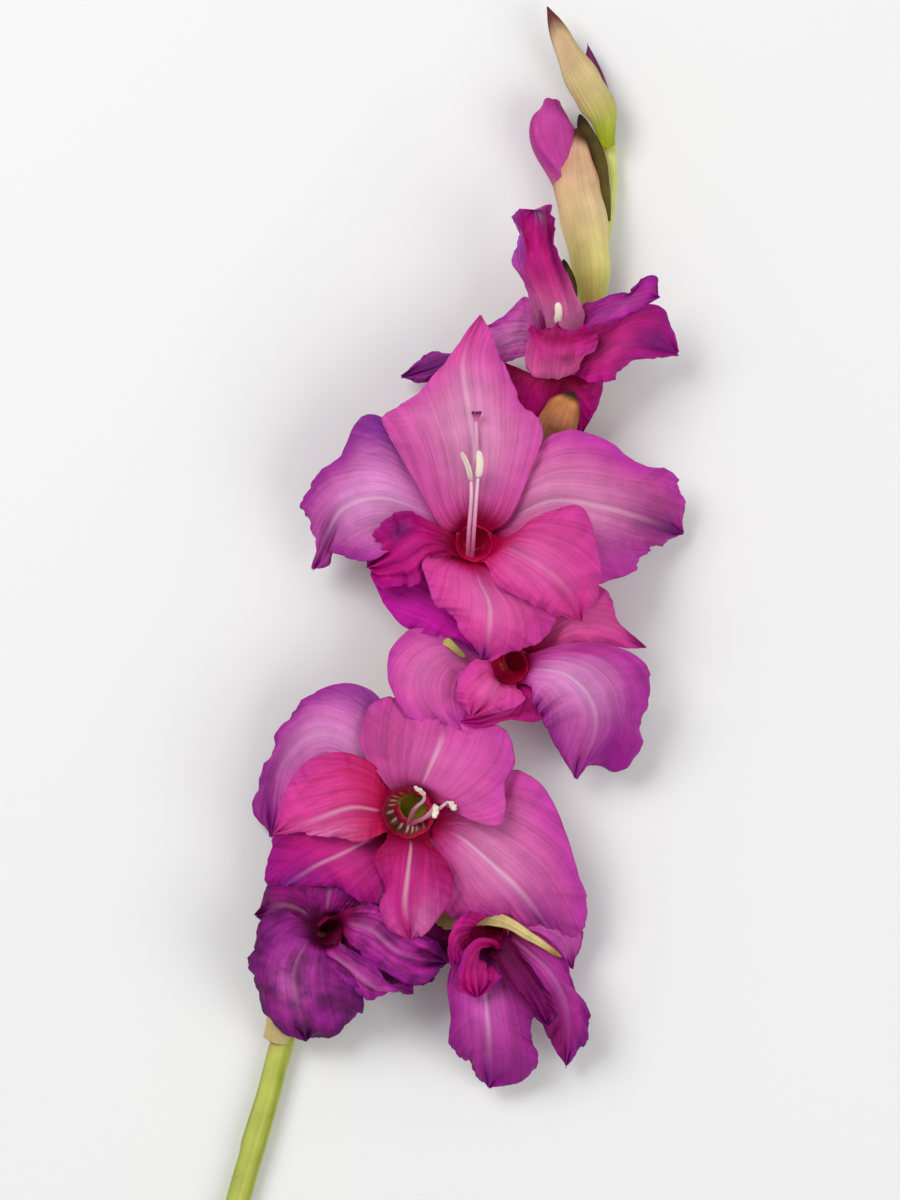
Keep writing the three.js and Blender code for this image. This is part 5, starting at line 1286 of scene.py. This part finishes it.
def wrap_sheath(name, kind, stations):
    """Surface = bent sheet + normal × (a low keel along the middle + parallel ribs + faint crumples + a wave
    along the edge); the focus is far above the middle, so the sheet faces up before its sides bend down."""
    chance = np.random.default_rng(sum(map(ord, name)))
    stations = np.array(stations, float)
    focus = along(stations, np.array([0.5]))[0, :3] + [0, 0, 1000]
    u = 1 - (1 - np.linspace(0, 1, BRACT_STEPS + 1)) ** 1.15
    v = np.linspace(-1, 1, BRACT_COLUMNS + 1)
    points, lateral, middle = bent_sheet(stations, focus, u, v, tip_start=0.9, tip_least=0.25)
    run = run_along(middle)
    uu, vv = np.meshgrid(u, v, indexing="ij")
    width = max(np.abs(lateral).max(), 1)
    lines = vv * width
    withered = kind in withered_kinds
    relief = KEEL_HEIGHT * np.exp(-((lines / KEEL_WIDTH) ** 2))
    relief = relief + BRACT_RIB_HEIGHT * np.cos(2 * np.pi * lines / BRACT_RIB_SPACING)
    relief = relief + (0.3 if withered else 0.08) * crumples(uu, vv, run[-1], width, chance)
    wave = np.sin(2 * np.pi * uu * run[-1] / EDGE_WAVE_LENGTH + chance.uniform(0, 6))
    relief = relief + EDGE_WAVE_HEIGHT * np.abs(vv) ** 3 * wave
    points = points + normals_of(points) * relief[..., None]
    half = BRACT_THICKNESS / 2 * (1 - 0.7 * np.abs(vv) ** 3)
    foot, body, upper, side, tip = (linear(c) for c in bract_colours[kind])
    tint = blend(foot, body, smooth(0.05, 0.45, uu))
    tint = blend(tint, upper, smooth(0.4, 0.8, uu) * (0.75 + 0.25 * vv))
    tint = blend(tint, side, smooth(0.7, 1, np.abs(vv)) * smooth(0.35, 0.75, uu))
    tint = blend(tint, tip, smooth(0.82, 0.96, uu + 0.03 * np.abs(vv)))
    skin, slot = (dry_skin, "dried_bract") if withered else (sheath_skin, "green_bract")
    add_sheet(name, points, half, tint, skin, lines, run)


for name, (kind, stations) in bracts.items():
    wrap_sheath(name, kind, stations)
print("bracts:", len(bracts))

# %% [markdown]
# ## Furled buds
# In a bud the six tepals are rolled round each other. From outside that shows as a few long edges that
# wind up the bud, each lying over the next, and a small twisted mouth at the tip. The radius steps down
# across each edge and eases back out before the next one.

# %% Buds
BUD_RINGS, MOUTH_RINGS, BUD_SIDES = 120, 14, 96
# Painted shade: the inside of a bud's mouth is coloured nearly black.
MOUTH_SHADE = "#4a0440"
FOLDS = 3
TWIST = 0.35  # turns from foot to tip
# For each bud: its stations (x, y, z, radius), the colours of its foot, body and folds, and how wide its
# mouth is open, as a share of the radius.
buds = {
    "bud7_corolla": [
        [[47, 112, 9.5, 3], [44.5, 128, 12, 4.5], [38.5, 143, 13, 5.8], [34.5, 155, 14, 7.7],
         [34, 166.5, 14, 6]],
        ["#c9a070", "#bc4094", "#8c1474"], 0.6,
    ],
    "bud8_corolla": [
        [[53, 158, 8, 2.5], [50.5, 167, 9.5, 4], [46, 176, 10.5, 3.6], [40.5, 187, 11, 1.2]],
        ["#b4b040", "#c07090", "#8a2c60"], 0.15,
    ],
    "bud9_corolla": [
        [[54, 158, 3.5, 1.5], [51.5, 168, 4.5, 2.8], [48.5, 177, 5.5, 2.7], [46.3, 187, 7, 0.6]],
        ["#90903a", "#80306a", "#3a0c30"], 0.15,
    ],
}


def furled(name, rows, colours, mouth):
    """Radius = the row's radius × (0.88 + 0.2 × saw), where saw rises from 0 to 1 between two edges and drops
    back over a tenth of a turn; the edges wind by TWIST turns. The end closes in like a quarter circle until
    mouth, a share of the radius, is left; there it turns over a lip with two lobes and runs back inside."""
    outward, inward = np.linspace(0, 1, BUD_RINGS), np.linspace(0, 1, MOUTH_RINGS)
    t = np.concatenate([outward, 1 - 0.07 * inward])
    a = angles(BUD_SIDES)
    turn = (a / (2 * np.pi) * FOLDS + TWIST * FOLDS * t[:, None]) % 1
    saw = np.where(turn < 0.9, turn / 0.9, 1 - smooth(0.9, 1.0, turn))
    reach = np.sqrt(1 - mouth**2)
    closing = np.sqrt(1 - (smooth(0.84, 1.0, outward) * reach) ** 2)
    closing = np.concatenate([closing, mouth * (1 - 0.95 * smooth(-0.4, 1, inward))])[:, None]
    lobes = np.cos(2 * a + 0.6) * smooth(0.8, 1, t)[:, None]
    step = 0.88 + 0.2 * saw * smooth(0.1, 0.4, t)[:, None]
    radius = along(rows, t)[:, 3:4] * step * closing * (1 + 0.25 * mouth * lobes)
    points = tube_points(rows, t, radius) + direction(rows, t)[:, None] * (3 * mouth * lobes)[..., None]
    foot, body, edge = (linear(c) for c in colours)
    tint = blend(foot, body, smooth(0.2, 0.6, t)[:, None] * np.ones_like(a))
    tint = blend(tint, edge, 0.6 * saw**4 + 0.4 * smooth(0.85, 1, t)[:, None])
    # Inside the mouth, the painted shade.
    inside = np.concatenate([np.zeros(BUD_RINGS), smooth(0, 0.4, inward)])[:, None]
    tint = blend(tint, linear(MOUTH_SHADE), inside)
    add_tube(name, points, tint, furled_petal, 30)


for name, (rows, colours, mouth) in buds.items():
    furled(name, rows, colours, mouth)
print("buds:", len(buds))

# %% [markdown]
# ## Floor, lights and camera
# The spike lies on a plain pale floor. One large soft light stands for a bright window at the upper
# left, a weaker one fills from the right, and the camera looks straight down.

# %% Stage
FLOOR_SIZE = 3.0  # from the middle to each edge
floor_corners = [(x * FLOOR_SIZE, y * FLOOR_SIZE, 0) for x, y in [(-1, -1), (1, -1), (1, 1), (-1, 1)]]
floor_mesh = bpy.data.meshes.new("floor")
floor_mesh.from_pydata(floor_corners, [], [(0, 1, 2, 3)])
floor = bpy.data.objects.new("floor", floor_mesh)
bpy.context.collection.objects.link(floor)
paint = bpy.data.materials.new("matt white board")
paint.use_nodes = True
board = paint.node_tree.nodes["Principled BSDF"].inputs
board["Base Color"].default_value = (*linear("#ececec"), 1)
board["Roughness"].default_value = 0.8
floor.data.materials.append(paint)


def soft_light(name, place, size, power):
    """A square area light that looks at the middle of the spike."""
    lamp = bpy.data.lights.new(name, "AREA")
    lamp.size, lamp.energy = size, power
    light = bpy.data.objects.new(name, lamp)
    light.location = place
    x, y, z = place
    light.rotation_euler = (np.arctan2(np.hypot(x, y), z), 0, np.arctan2(x, -y))
    bpy.context.collection.objects.link(light)


soft_light("window", (-0.9, 0.9, 1.6), 1.0, 23)
soft_light("fill", (1.2, -0.5, 1.5), 1.4, 13)
world = bpy.data.worlds.new("room")
world.use_nodes = True
background = world.node_tree.nodes["Background"].inputs
background["Color"].default_value = (1, 1, 1, 1)
background["Strength"].default_value = 0.45
bpy.context.scene.world = world
bpy.context.scene.view_settings.view_transform = "Standard"

# %% Camera
CAMERA_HEIGHT = 2.5
FRAME_HEIGHT = 0.4  # metres of the spike's plane from the bottom of the picture to its top
SUBJECT_HEIGHT = 0.03
SENSOR = 36
lens = bpy.data.cameras.new("camera")
lens.sensor_fit = "VERTICAL"
lens.sensor_height = SENSOR
lens.lens = SENSOR * (CAMERA_HEIGHT - SUBJECT_HEIGHT) / FRAME_HEIGHT
camera = bpy.data.objects.new("camera", lens)
camera.location = (move[0] * MM, move[1] * MM, CAMERA_HEIGHT)
bpy.context.collection.objects.link(camera)
bpy.context.scene.camera = camera
print("lens, mm:", round(lens.lens, 1))
